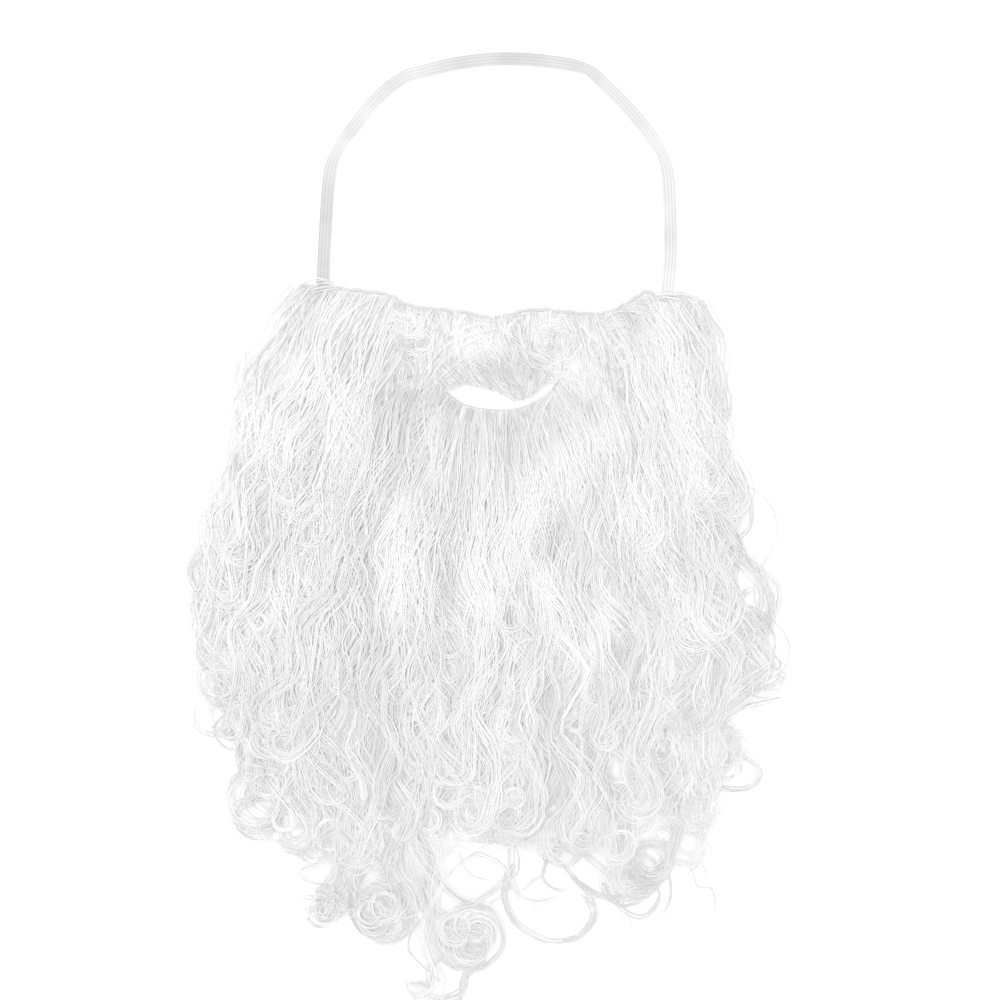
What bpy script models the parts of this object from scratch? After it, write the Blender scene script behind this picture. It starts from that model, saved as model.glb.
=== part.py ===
"""Curly white costume beard with an elastic head strap, lying face up.

Sizes are millimetres in a plan frame whose zero is the middle of the mouth opening, x to the right,
y towards the strap and z up from the surface that the beard lies on. The last step moves everything so
that the origin is the middle of the whole object's base, and turns millimetres into metres.
"""

import math

import bmesh
import bpy
import numpy as np
from mathutils import Matrix, Vector

MM = 0.001
GAP = 0.3

STRAP_WIDTH = 6.5
STRAP_THICK = 1.0
STRAP_TUCK = 14.0

BACKING_THICK = 1.2
BACKING_Z = STRAP_THICK + GAP
HEM_WIDTH = 3.0
HEM_HEIGHT = 2.6

HAIR_Z = BACKING_Z + BACKING_THICK + GAP
HAIR_DEPTH = 38.0
CORE_SHARE = 0.80
CORE_SINK = 3.0
CORE_ROUNDS_AT = -165.0
CORE_FOOT = -230.0
PARTING = 0.4
LOCK_FLATNESS = 0.52
BELOW = 4.0
FLATTENED = 1.5
SKIN_GRID = 2.0
SKIN_FACES = 7600

# How finely curves, ovals, the core and the locks are drawn.
CURVE_STEPS = 3
OVAL_CORNERS = 6
CORE_ROWS = 12
CORE_ARCHES = 8
LOCK_STEP = 17.0
RING_STEPS = 9

# The core's first row and its least height.
CORE_TOP = 50.0
CORE_LEAST = 4.0

# How squarely the mass rises from its side edges, and how round its top is.
SIDE_POWER = 2.4
TOP_POWER = 0.6

# A lock's share of its full width at its root, where it is fullest, at its tip and at its ring's end.
ROOT_SHARE = 0.72
FULL_AT = 0.3
TIP_SHARE = 0.66
RING_END_SHARE = 0.40

# Every cutter reaches well under the surface, well over the hair and past the beard on all sides.
CUT_LOW = -20.0
CUT_HIGH = 80.0
GROUND = ((-200.0, -340.0), (200.0, -340.0), (200.0, 100.0), (-200.0, 100.0))
SKY_SIDE = 140.0
SKY_TOP = 120.0
ABOVE_ALL = 200.0
SHARP_ANGLE = math.radians(40)

# The strap's middle line in plan, from its left end to its right end, with its two soft edgewise kinks.
STRAP_LINE = (
    # x, y
    (-89.5, 55.5),
    (-88.0, 87.0),
    (-86.0, 110.5),
    (-82.0, 122.5),
    (-73.5, 134.5),
    (-62.5, 148.0),
    (-49.5, 158.5),
    (-36.5, 162.5),
    (-21.0, 166.0),
    (-1.5, 168.0),
    (20.5, 167.0),
    (41.5, 163.0),
    (52.5, 154.0),
    (65.5, 140.5),
    (76.5, 126.0),
    (82.0, 114.0),
    (83.5, 99.5),
    (84.0, 71.0),
    (82.5, 52.5),
)

# The cloth's top edge, left to right.
TOP_EDGE = (
    # x, y
    (-101.0, 53.0),
    (-76.0, 51.0),
    (-57.5, 48.5),
    (-45.5, 43.0),
    (-20.0, 40.0),
    (-4.0, 37.0),
    (14.0, 41.0),
    (32.5, 40.0),
    (49.5, 39.0),
    (62.0, 43.5),
    (72.0, 50.0),
    (80.0, 46.5),
    (98.0, 47.0),
)

# The cloth's lower outline, right to left, round the chin.
CHIN_EDGE = (
    # x, y
    (97.0, 24.0),
    (82.0, -22.0),
    (52.0, -72.0),
    (18.0, -98.0),
    (-18.0, -98.0),
    (-54.0, -72.0),
    (-84.0, -22.0),
    (-100.0, 26.0),
)

# The mouth opening, anticlockwise from its left corner: the lower lip's arc, then the moustache's edge.
MOUTH = (
    # x, y
    (-28.0, 1.0),
    (-17.5, -5.5),
    (-1.0, -8.0),
    (12.0, -6.0),
    (22.5, 0.0),
    (28.0, 6.0),
    (21.0, 5.0),
    (14.5, -1.0),
    (8.0, -3.5),
    (-3.0, 2.0),
    (-17.5, 5.0),
)

# The hair mass in plan and in height, by rows across the beard.
MASS = np.array(
    [
        # y, left edge, right edge, share of HAIR_DEPTH
        (58.0, -101.0, 98.0, 0.30),
        (40.0, -108.0, 105.0, 0.38),
        (10.0, -122.0, 112.0, 0.52),
        (-20.0, -134.0, 116.0, 0.74),
        (-60.0, -146.0, 124.0, 0.96),
        (-110.0, -152.0, 134.0, 1.00),
        (-160.0, -142.0, 128.0, 0.86),
        (-200.0, -124.0, 112.0, 0.68),
        (-235.0, -104.0, 100.0, 0.44),
        (-265.0, -84.0, 84.0, 0.24),
        (-305.0, -52.0, 60.0, 0.10),
    ]
)

# Locks, one a row. A lock runs from its root to its tip, bowed sideways and waved, and ends in a ring.
# Positive bow and wave lean to the lock's left as it grows, which is +x on a lock that falls straight.
# Positive turns curl anticlockwise seen from above. rise lifts a lock above its neighbours.
LEFT_LOCKS = (
    # root_x, root_y, tip_x, tip_y, bow, wave, waves, width, ring_r, turns, rise
    (-97, 60, -121, -38, -17, 0, 1.0, 21, 9, 0.35, 0),
    (-92, 58, -143, -94, -9, 7, 1.0, 22, 10, 0.5, 1),
    (-84, 57, -146, -120, -4, 8, 1.5, 22, 10, 0.6, 0),
    (-76, 30, -130, -143, -6, 7, 2.0, 16, 9, -1.0, 2),
    (-66, 30, -129, -162, -4, 8, 2.0, 14, 9, -1.0, 0),
    (-60, 20, -109, -205, -8, 9, 2.5, 15, 13, -1.0, 1),
    (-52, 12, -98, -224, -5, 9, 2.5, 18, 9, -0.6, -1),
    (-58, -8, -92, -192, -3, 9, 2.0, 20, 9, 0.7, 3),
    (-80, -10, -114, -150, -5, 9, 1.5, 22, 9, 0.6, 3),
    (-74, 57, -106, -52, -8, 5, 1.0, 22, 9, 0.4, 2),
    (-58, 55, -84, -66, -6, 6, 1.0, 20, 8, -0.5, 2),
    (-90, 20, -126, -70, -6, 6, 1.0, 18, 8, -0.5, 4),
    (-46, 2, -74, -140, -5, 8, 1.5, 20, 8, 0.5, 4),
    (-70, -60, -104, -176, -4, 8, 1.5, 18, 8, -0.7, 5),
)
CHIN_LOCKS = (
    # root_x, root_y, tip_x, tip_y, bow, wave, waves, width, ring_r, turns, rise
    (-29, -8, -70, -228, -5, 8, 2.5, 18, 9, -0.9, 0),
    (-46, -90, -87, -244, -3, 7, 1.5, 14, 8, 0.7, -1),
    (-22, -12, -49, -246, -2, 7, 3.0, 18, 8.5, -1.1, 1),
    (-12, -14, -11, -258, -3, 6, 3.0, 18, 9.5, -1.1, 1),
    (-14, -120, -29, -292, -2, 6, 2.0, 12, 8, -0.55, -1),
    (3, -15, 4, -242, 3, 7, 2.5, 12, 22, 0.62, 0),
    (11, -13, 32, -212, 3, 8, 2.5, 18, 9, 0.9, 2),
    (19, -10, 56, -234, 3, 8, 2.5, 13, 12, 1.0, 0),
    (40, -90, 86, -230, 2, 8, 1.5, 14, 11, -0.75, 1),
    (-24, -14, -42, -150, -3, 6, 1.5, 20, 8, 0.4, 3),
    (-8, -16, -14, -180, 2, 7, 2.0, 20, 8, -0.4, 4),
    (8, -16, 16, -128, 2, 6, 1.5, 20, 8, 0.4, 3),
    (24, -12, 46, -166, 3, 8, 1.5, 20, 8, 0.5, 3),
    (-50, -70, -62, -200, -2, 8, 1.5, 16, 8, 0.6, 5),
    (20, -90, 10, -212, 2, 8, 1.5, 16, 8, -0.6, 5),
)
RIGHT_LOCKS = (
    # root_x, root_y, tip_x, tip_y, bow, wave, waves, width, ring_r, turns, rise
    (94, 55, 104, -34, 9, 2, 1.0, 20, 9, -0.3, 1),
    (84, 55, 115, -58, 4, 6, 1.5, 20, 9, -0.5, 0),
    (78, 36, 137, -104, 2, 9, 1.5, 20, 12, -0.7, 1),
    (70, 34, 122, -142, 6, 8, 2.0, 13, 14, 0.25, 0),
    (62, 30, 106, -180, 5, 8, 2.0, 14, 10, 1.0, 1),
    (60, -60, 98, -226, 5, 8, 1.5, 11, 8, -0.7, -1),
    (50, 12, 90, -204, 4, 9, 2.5, 18, 9, 0.7, 0),
    (44, 4, 74, -196, 3, 9, 2.0, 20, 9, -0.7, 2),
    (76, 0, 106, -118, 4, 9, 1.5, 22, 9, -0.6, 3),
    (68, 58, 92, -50, 5, 6, 1.0, 22, 9, 0.4, 2),
    (53, 48, 78, -66, 5, 6, 1.0, 20, 8, -0.4, 2),
    (42, -6, 66, -138, 3, 8, 1.5, 20, 8, 0.5, 4),
    (82, -40, 104, -160, 4, 8, 1.5, 18, 8, -0.7, 5),
)
MOUSTACHE_LOCKS = (
    # root_x, root_y, tip_x, tip_y, bow, wave, waves, width, ring_r, turns, rise
    (-6, 33, -42, 29, -7, 0, 1.0, 15, 7, 0.9, 1),
    (-8, 20, -38, 4, -4, 0, 1.0, 13, 8, 0.2, 0),
    (-10, 10, -30, 8, -2, 0, 1.0, 10, 8, 0.1, 0),
    (6, 34, 38, 30, 6, 0, 1.0, 15, 7, -0.9, 1),
    (8, 21, 38, 8, 4, 0, 1.0, 13, 8, -0.2, 0),
    (12, 11, 30, 12, 2, 0, 1.0, 10, 8, -0.1, 0),
    (-4, 32, 7, -2, 3, 0, 1.0, 10, 8, 0.05, 2),
)

# Where the hair parts between one piece and the next, in plan.
PARTINGS = {
    "middle": ((-6.0, 70.0), (-7.0, 40.0), (-9.0, 22.0), (-3.0, 8.0), (-2.0, -2.0)),
    "left": ((-54.0, 70.0), (-50.0, 40.0), (-44.0, 18.0), (-36.0, 3.0), (-24.0, 0.0)),
    "right": ((52.0, 70.0), (49.0, 40.0), (44.0, 20.0), (37.0, 7.0), (24.0, 3.0)),
    "chin_left": ((-36.0, 3.0), (-46.0, -40.0), (-62.0, -100.0), (-80.0, -160.0), (-84.0, -215.0),
                  (-96.0, -320.0)),
    "chin_right": ((37.0, 7.0), (44.0, -40.0), (58.0, -100.0), (72.0, -160.0), (84.0, -215.0),
                   (92.0, -320.0)),
}

# A point inside each hair piece, in plan.
PIECE_SEEDS = {
    "moustache_left": (-25.0, 22.0),
    "moustache_right": (22.0, 24.0),
    "cheek_hair_left": (-100.0, -80.0),
    "cheek_hair_right": (92.0, -80.0),
    "chin_hair": (0.0, -120.0),
}


def clear_scene():
    for item in list(bpy.data.objects):
        bpy.data.objects.remove(item, do_unlink=True)


def new_collection(name):
    group = bpy.data.collections.new(name)
    bpy.context.scene.collection.children.link(group)
    return group


def finish(name, colour, roughness):
    """A plain white fibre finish; colour is one linear grey level."""
    made = bpy.data.materials.new(name)
    made.use_nodes = True
    shader = made.node_tree.nodes["Principled BSDF"]
    shader.inputs["Base Color"].default_value = (colour, colour, colour, 1.0)
    shader.inputs["Roughness"].default_value = roughness
    shader.inputs["Metallic"].default_value = 0.0
    return made


def smooth_line(points, steps, closed=False):
    """Points of a Catmull-Rom curve through the given plan points, with this many steps a span."""
    line = [np.array(p, float) for p in points]
    last = len(line)
    spans = last if closed else last - 1
    made = []
    for i in range(spans):
        p1 = line[i]
        p2 = line[(i + 1) % last]
        p0 = line[i - 1] if (closed or i > 0) else 2 * p1 - p2
        p3 = line[(i + 2) % last] if (closed or i + 2 < last) else 2 * p2 - p1
        for k in range(steps):
            t = k / steps
            made.append(0.5 * (2 * p1 + (p2 - p0) * t + (2 * p0 - 5 * p1 + 4 * p2 - p3) * t * t
                               + (3 * p1 - p0 - 3 * p2 + p3) * t ** 3))
    if not closed:
        made.append(line[-1])
    return made


def grown(points, by):
    """A closed anticlockwise outline moved outwards by this much."""
    made = []
    for i, point in enumerate(points):
        along = points[(i + 1) % len(points)] - points[i - 1]
        out = np.array((along[1], -along[0]))
        made.append(point + by * out / np.linalg.norm(out))
    return made


def add_curve(name, group, dimensions="3D"):
    data = bpy.data.curves.new(name, "CURVE")
    data.dimensions = dimensions
    item = bpy.data.objects.new(name, data)
    group.objects.link(item)
    return item


def add_spline(item, points, closed=False, radii=None):
    spline = item.data.splines.new("POLY")
    spline.points.add(len(points) - 1)
    for i, point in enumerate(points):
        place = tuple(point) if len(point) == 3 else (point[0], point[1], 0.0)
        spline.points[i].co = (*place, 1.0)
        spline.points[i].radius = radii[i] if radii else 1.0
    spline.use_cyclic_u = closed
    return spline


def flat_solid(name, group, outlines, low, high):
    """A solid of one closed outline, with any further outlines as holes, between two heights."""
    item = add_curve(name, group, "2D")
    item.data.fill_mode = "BOTH"
    item.data.extrude = (high - low) / 2
    for outline in outlines:
        add_spline(item, outline, closed=True)
    item.location.z = (high + low) / 2
    return to_mesh(item, group)


def to_mesh(item, group):
    """The evaluated object as a plain mesh object of the same name, with its caps welded on."""
    bpy.context.view_layer.update()
    graph = bpy.context.evaluated_depsgraph_get()
    mesh = bpy.data.meshes.new_from_object(item.evaluated_get(graph))
    mesh.transform(item.matrix_world)
    name = item.name
    bpy.data.objects.remove(item, do_unlink=True)
    work = bmesh.new()
    work.from_mesh(mesh)
    bmesh.ops.remove_doubles(work, verts=work.verts, dist=0.001)
    bmesh.ops.recalc_face_normals(work, faces=work.faces)
    work.to_mesh(mesh)
    work.free()
    made = bpy.data.objects.new(name, mesh)
    group.objects.link(made)
    return made


def section_curve(name, group, outline):
    """A closed cross-section that a strap, hem or lock is swept with."""
    item = add_curve(name, group, "2D")
    item.data.fill_mode = "NONE"
    add_spline(item, outline, closed=True)
    item.hide_render = True
    item.display_type = "WIRE"
    return item


def sweep(name, group, section, line, radii=None):
    """A closed tube of this section along a line, kept level across."""
    item = add_curve(name, group)
    item.data.bevel_mode = "OBJECT"
    item.data.bevel_object = section
    item.data.use_fill_caps = True
    item.data.twist_mode = "Z_UP"
    add_spline(item, line, radii=radii)
    return to_mesh(item, group)


def apply_modifiers(item):
    """Give the object its evaluated mesh, with no modifiers left."""
    bpy.context.view_layer.update()
    graph = bpy.context.evaluated_depsgraph_get()
    mesh = bpy.data.meshes.new_from_object(item.evaluated_get(graph))
    item.modifiers.clear()
    item.data = mesh


def cut(item, other):
    """Cut the other object from item, and remove it."""
    step = item.modifiers.new("cut", "BOOLEAN")
    step.operation = "DIFFERENCE"
    step.solver = "EXACT"
    step.object = other
    apply_modifiers(item)
    bpy.data.objects.remove(other, do_unlink=True)


def fused(name, group, items):
    """Overlapping closed bodies as one skin with no voids in it, thinned to its share of faces."""
    work = bmesh.new()
    for item in items:
        work.from_mesh(item.data)
        bpy.data.objects.remove(item, do_unlink=True)
    mesh = bpy.data.meshes.new(name)
    work.to_mesh(mesh)
    work.free()
    made = bpy.data.objects.new(name, mesh)
    group.objects.link(made)
    skin = made.modifiers.new("skin", "REMESH")
    skin.mode = "VOXEL"
    skin.voxel_size = SKIN_GRID
    apply_modifiers(made)
    thinned = made.modifiers.new("thinned", "DECIMATE")
    thinned.ratio = SKIN_FACES / (2 * len(made.data.polygons))
    thinned.use_collapse_triangulate = True
    apply_modifiers(made)
    return made


def mass_row(y):
    """Left edge, right edge and height of the hair mass on the line across it at y."""
    rows = MASS[::-1]
    left, right, share = (float(np.interp(y, rows[:, 0], rows[:, k])) for k in (1, 2, 3))
    return left, right, share * HAIR_DEPTH


def hair_height(x, y):
    """Top of the hair mass over a plan point."""
    left, right, height = mass_row(y)
    side = min(1.0, abs(2 * (x - left) / (right - left) - 1))
    return height * (1 - side ** SIDE_POWER) ** TOP_POWER


def hair_core(group):
    """The packed hair under the locks: sections across the mass, lofted from the top edge to its foot."""
    rows = np.linspace(CORE_TOP, CORE_FOOT, CORE_ROWS)
    arches = np.linspace(-1.0, 1.0, CORE_ARCHES)
    work = bmesh.new()
    rings = []
    for y in rows:
        left, right, height = mass_row(y)
        middle = (left + right) / 2
        past = max(0.0, (CORE_ROUNDS_AT - y) / (CORE_ROUNDS_AT - CORE_FOOT))
        rounding = math.sqrt(1 - 0.9 * past ** 2)
        half = rounding * CORE_SHARE * (right - left) / 2
        ring = [work.verts.new((middle - half, y, -BELOW)), work.verts.new((middle + half, y, -BELOW))]
        for u in arches[::-1]:
            x = middle + half * u
            top = max(CORE_LEAST, rounding * (hair_height(x, y) - CORE_SINK))
            ring.append(work.verts.new((x, y, top)))
        rings.append(ring)
    count = len(rings[0])
    for a, b in zip(rings, rings[1:]):
        for k in range(count):
            n = (k + 1) % count
            work.faces.new((a[k], a[n], b[n], b[k]))
    work.faces.new(rings[0])
    work.faces.new(rings[-1][::-1])
    bmesh.ops.recalc_face_normals(work, faces=work.faces)
    mesh = bpy.data.meshes.new("hair_core")
    work.to_mesh(mesh)
    work.free()
    made = bpy.data.objects.new("hair_core", mesh)
    group.objects.link(made)
    return made


def lock_line(row):
    """Plan points of a lock's middle line and its share of full width at each."""
    root_x, root_y, tip_x, tip_y, bow, wave, waves, width, ring_r, turns, rise = row
    root = np.array((root_x, root_y), float)
    chord = np.array((tip_x, tip_y), float) - root
    length = np.linalg.norm(chord)
    along = chord / length
    side = np.array((-along[1], along[0]))
    steps = max(5, round(length / LOCK_STEP))
    points = []
    shares = []
    for k in range(steps + 1):
        t = k / steps
        lean = bow * math.sin(math.pi * t) + wave * t * math.sin(2 * math.pi * waves * t)
        points.append(root + chord * t + side * lean)
        if t < FULL_AT:
            shares.append(ROOT_SHARE + (1.0 - ROOT_SHARE) * math.sin(math.pi * min(1.0, 1.6 * t)))
        else:
            shares.append(1.0 - (1.0 - TIP_SHARE) * (t - FULL_AT) / (1.0 - FULL_AT))
    heading = points[-1] - points[-2]
    heading /= np.linalg.norm(heading)
    sense = 1.0 if turns > 0 else -1.0
    hub = points[-1] + sense * ring_r * np.array((-heading[1], heading[0]))
    arm = points[-1] - hub
    ring_steps = max(2, round(abs(turns) * RING_STEPS))
    for k in range(1, ring_steps + 1):
        angle = 2 * math.pi * turns * k / ring_steps
        turn = np.array(((math.cos(angle), -math.sin(angle)), (math.sin(angle), math.cos(angle))))
        points.append(hub + turn @ arm)
        shares.append(TIP_SHARE - (TIP_SHARE - RING_END_SHARE) * k / ring_steps)
    return points, shares


def lock(name, group, section, row):
    """One lock lying on the hair mass, or on the surface beyond it."""
    width = row[7]
    points, shares = lock_line(row)
    line = []
    for (x, y), share in zip(points, shares):
        half_thick = LOCK_FLATNESS * width * share / 2
        height = hair_height(x, y) - 0.5 * half_thick + row[10]
        line.append((x, y, max(half_thick - FLATTENED, height)))
    return sweep(name, group, section, line, [width * share for share in shares])


def strap(group, finish_of):
    """The flat elastic, its ends tucked under the cloth's top corners."""
    half_w = STRAP_WIDTH / 2
    half_t = STRAP_THICK / 2
    section = section_curve("strap_section", group, ((-half_w, -half_t), (half_w, -half_t),
                                                     (half_w, half_t), (-half_w, half_t)))
    start, end = STRAP_LINE[0], STRAP_LINE[-1]
    route = ((start[0], start[1] - STRAP_TUCK), *STRAP_LINE, (end[0], end[1] - STRAP_TUCK))
    line = [(x, y, half_t) for x, y in smooth_line(route, CURVE_STEPS)]
    item = sweep("elastic_strap", group, section, line)
    bpy.data.objects.remove(section, do_unlink=True)
    item.data.materials.append(finish_of)
    return item


def backing_outline():
    """The cloth's whole outline, anticlockwise."""
    return smooth_line(CHIN_EDGE[::-1], CURVE_STEPS) + smooth_line(TOP_EDGE, CURVE_STEPS)[::-1]


def backing(group, finish_of):
    """The cloth panel with its mouth opening."""
    opening = grown(smooth_line(MOUTH, CURVE_STEPS, closed=True), 1.0)
    item = flat_solid("backing_cloth", group, (backing_outline(), opening),
                      BACKING_Z, BACKING_Z + BACKING_THICK)
    item.data.materials.append(finish_of)
    return item


def hem_tube(name, group, spare):
    """A tube along the cloth's top edge, larger all round than the hem by this much."""
    oval = [((HEM_WIDTH / 2 + spare) * math.cos(a), (HEM_HEIGHT / 2 + spare) * math.sin(a))
            for a in np.arange(OVAL_CORNERS) * 2 * math.pi / OVAL_CORNERS]
    section = section_curve("hem_section", group, oval)
    rise = HEM_WIDTH / 2 + GAP
    edge = smooth_line(TOP_EDGE, CURVE_STEPS)
    line = []
    for i, point in enumerate(edge):
        along = edge[min(i + 1, len(edge) - 1)] - edge[max(i - 1, 0)]
        out = np.array((-along[1], along[0])) / np.linalg.norm(along)
        place = point + rise * out
        line.append((place[0], place[1], BACKING_Z + HEM_HEIGHT / 2))
    if spare:
        line.insert(0, 2 * np.array(line[0]) - np.array(line[1]))
        line.append(2 * np.array(line[-1]) - np.array(line[-2]))
    item = sweep(name, group, section, line)
    bpy.data.objects.remove(section, do_unlink=True)
    return item


def top_hem(group, finish_of):
    """The rolled edge that runs along the cloth's top edge."""
    item = hem_tube("top_hem", group, 0.0)
    item.data.materials.append(finish_of)
    return item


def parting(name, group, line):
    """A thin upright wall along a parting, to cut one hair piece from the next."""
    item = add_curve(name, group)
    item.data.extrude = CUT_HIGH
    add_spline(item, smooth_line(line, CURVE_STEPS))
    wall = item.modifiers.new("thickness", "SOLIDIFY")
    wall.thickness = PARTING
    wall.offset = 0.0
    return to_mesh(item, group)


def hair(group, cutters):
    """All the hair in one body, and then parted into its named pieces."""
    oval = [(0.5 * math.cos(a), 0.5 * LOCK_FLATNESS * math.sin(a))
            for a in np.arange(OVAL_CORNERS) * 2 * math.pi / OVAL_CORNERS]
    section = section_curve("lock_section", cutters, oval)
    rows = LEFT_LOCKS + CHIN_LOCKS + RIGHT_LOCKS + MOUSTACHE_LOCKS
    locks = [lock(f"lock_{n}", cutters, section, row) for n, row in enumerate(rows)]
    bpy.data.objects.remove(section, do_unlink=True)
    mass = fused("hair", group, [hair_core(cutters), *locks])

    cut(mass, flat_solid("ground", cutters, (GROUND,), CUT_LOW, 0.0))
    over_hem = HEM_WIDTH + 2 * GAP
    cut(mass, flat_solid("pocket", cutters, (grown(backing_outline(), over_hem + 1.0),), CUT_LOW, HAIR_Z))
    cut(mass, hem_tube("hem_groove", cutters, 1.2 * GAP))
    lips = smooth_line(MOUTH, CURVE_STEPS, closed=True)
    cut(mass, flat_solid("mouth", cutters, (lips,), CUT_LOW, CUT_HIGH))
    above = [np.array(p) + (0.0, over_hem) for p in smooth_line(TOP_EDGE, CURVE_STEPS)]
    sky = [np.array((SKY_SIDE, above[-1][1])), np.array((SKY_SIDE, SKY_TOP)), np.array((-SKY_SIDE, SKY_TOP)),
           np.array((-SKY_SIDE, above[0][1]))]
    cut(mass, flat_solid("above_hem", cutters, (above + sky,), CUT_LOW, CUT_HIGH))
    for name, line in PARTINGS.items():
        cut(mass, parting(f"parting_{name}", cutters, line))
    return mass


def loose_bodies(item, group):
    """The separate bodies of a mesh object, as objects, largest first, with the voids inside them filled."""
    work = bmesh.new()
    work.from_mesh(item.data)
    work.verts.ensure_lookup_table()
    seen = set()
    bodies = []
    for vert in work.verts:
        if vert in seen:
            continue
        body, todo = set(), [vert]
        while todo:
            one = todo.pop()
            if one in body:
                continue
            body.add(one)
            todo.extend(edge.other_vert(one) for edge in one.link_edges)
        seen |= body
        bodies.append(body)
    made = []
    for body in sorted(bodies, key=len, reverse=True):
        faces = {face for vert in body for face in vert.link_faces}
        if len(faces) < 4:
            continue
        part = bmesh.new()
        copies = {vert: part.verts.new(vert.co) for vert in body}
        for face in sorted(faces, key=lambda f: f.index):
            part.faces.new([copies[vert] for vert in face.verts])
        if part.calc_volume(signed=True) < 0:
            part.free()
            continue
        mesh = bpy.data.meshes.new(item.name)
        part.to_mesh(mesh)
        part.free()
        one = bpy.data.objects.new(item.name, mesh)
        group.objects.link(one)
        made.append(one)
    work.free()
    bpy.data.objects.remove(item, do_unlink=True)
    return made


def covers(item, x, y):
    """Whether a body lies over a plan point."""
    hit, _, _, _ = item.ray_cast(Vector((x, y, ABOVE_ALL)), Vector((0.0, 0.0, -1.0)))
    return hit


def main():
    clear_scene()
    beard = new_collection("fake_beard")
    cutters = new_collection("cutters")

    strap(beard, finish("white_elastic", 0.82, 0.6))
    backing(beard, finish("white_knit_cloth", 0.78, 0.9))
    top_hem(beard, finish("rolled_hem_thread", 0.70, 0.85))
    fibre = finish("white_hair_fibre", 0.85, 0.45)
    bodies = loose_bodies(hair(beard, cutters), beard)
    bpy.context.view_layer.update()
    for name, (x, y) in PIECE_SEEDS.items():
        piece = next(body for body in bodies if covers(body, x, y))
        bodies.remove(piece)
        piece.name = name
        piece.data.materials.append(fibre)
    for offcut in bodies:
        bpy.data.objects.remove(offcut, do_unlink=True)

    corners = [Vector(c) for item in beard.objects for c in item.bound_box]
    low = Vector((min(c.x for c in corners), min(c.y for c in corners), min(c.z for c in corners)))
    high = Vector((max(c.x for c in corners), max(c.y for c in corners), max(c.z for c in corners)))
    middle = (low + high) / 2
    place = Matrix.Scale(MM, 4) @ Matrix.Translation((-middle.x, -middle.y, -low.z))
    for item in beard.objects:
        item.data.transform(place)
        item.data.shade_smooth()
        item.data.set_sharp_from_angle(angle=SHARP_ANGLE)


main()
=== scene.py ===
"""The looks of a curly white costume beard that lies face up with its elastic head strap laid out above it.

Plan sizes are millimetres in the beard's own plan frame: zero is the middle of the mouth opening, x to the
right, y towards the strap and z up from the surface. put() turns them into the frame's metres.
"""

import math
from collections import namedtuple

import bmesh
import bpy
import numpy as np
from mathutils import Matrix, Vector
from mathutils.geometry import delaunay_2d_cdt


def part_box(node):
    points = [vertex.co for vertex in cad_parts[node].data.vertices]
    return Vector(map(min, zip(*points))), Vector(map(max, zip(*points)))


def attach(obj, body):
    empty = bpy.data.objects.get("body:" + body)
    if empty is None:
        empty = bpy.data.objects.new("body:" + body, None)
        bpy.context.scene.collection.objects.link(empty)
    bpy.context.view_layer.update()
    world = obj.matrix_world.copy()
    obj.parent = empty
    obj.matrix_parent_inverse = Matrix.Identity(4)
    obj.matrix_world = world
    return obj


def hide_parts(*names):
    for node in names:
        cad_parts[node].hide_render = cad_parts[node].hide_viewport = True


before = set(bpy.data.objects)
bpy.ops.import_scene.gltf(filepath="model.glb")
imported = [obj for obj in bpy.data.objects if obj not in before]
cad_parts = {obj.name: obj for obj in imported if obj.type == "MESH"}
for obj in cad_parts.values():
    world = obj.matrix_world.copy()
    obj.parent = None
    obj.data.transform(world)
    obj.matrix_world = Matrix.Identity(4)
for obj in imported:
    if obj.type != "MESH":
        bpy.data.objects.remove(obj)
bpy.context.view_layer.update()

MM = 0.001

# The cloth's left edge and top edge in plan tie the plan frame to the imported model.
CLOTH_LEFT = -101.0
CLOTH_TOP = 53.0
CLOTH_LOW, CLOTH_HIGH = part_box("backing_cloth")
PLAN_X = CLOTH_LOW.x / MM - CLOTH_LEFT
PLAN_Y = CLOTH_HIGH.y / MM - CLOTH_TOP
CLOTH_Z = CLOTH_LOW.z / MM
CLOTH_THICK = (CLOTH_HIGH.z - CLOTH_LOW.z) / MM

# The strap: its tuck is how far each end runs under the cloth, and its length, about 368 mm, includes both.
STRAP_WIDTH = 6.5
STRAP_THICK = 1.0
STRAP_TUCK = 14.0
STRAP_RIBS = 4
STRAP_LENGTH = 368.0

# The roll along the cloth's top edge.
HEM_WIDTH = 3.0
HEM_HEIGHT = 2.6
HEM_Z = CLOTH_Z + HEM_HEIGHT / 2

# A wave texture of this scale repeats once a unit.
WAVE_STEP = 2 * math.pi / 20

# The hair starts just above the cloth and is this deep at its fullest.
HAIR_Z = CLOTH_Z + CLOTH_THICK + 0.3
HAIR_DEPTH = 38.0

# The wisps in a lock's middle lie higher than those at its edges, by a share of this much of its width.
LOCK_FLATNESS = 0.52

# The strap's middle line in plan, from its left end to its right end, as in the part's source.
STRAP_LINE = (
    # x, y
    (-89.5, 55.5),
    (-88.0, 87.0),
    (-86.0, 110.5),
    (-82.0, 122.5),
    (-73.5, 134.5),
    (-62.5, 148.0),
    (-49.5, 158.5),
    (-36.5, 162.5),
    (-21.0, 166.0),
    (-1.5, 168.0),
    (20.5, 167.0),
    (41.5, 163.0),
    (52.5, 154.0),
    (65.5, 140.5),
    (76.5, 126.0),
    (82.0, 114.0),
    (83.5, 99.5),
    (84.0, 71.0),
    (82.5, 52.5),
)

# Where the strap is creased.
STRAP_CREASES = ((41.5, 163.0), (-82.0, 122.5), (79.0, 121.0))

# Below this height its right end is doubled.
STRAP_LAP_Y = 90.0

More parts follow.
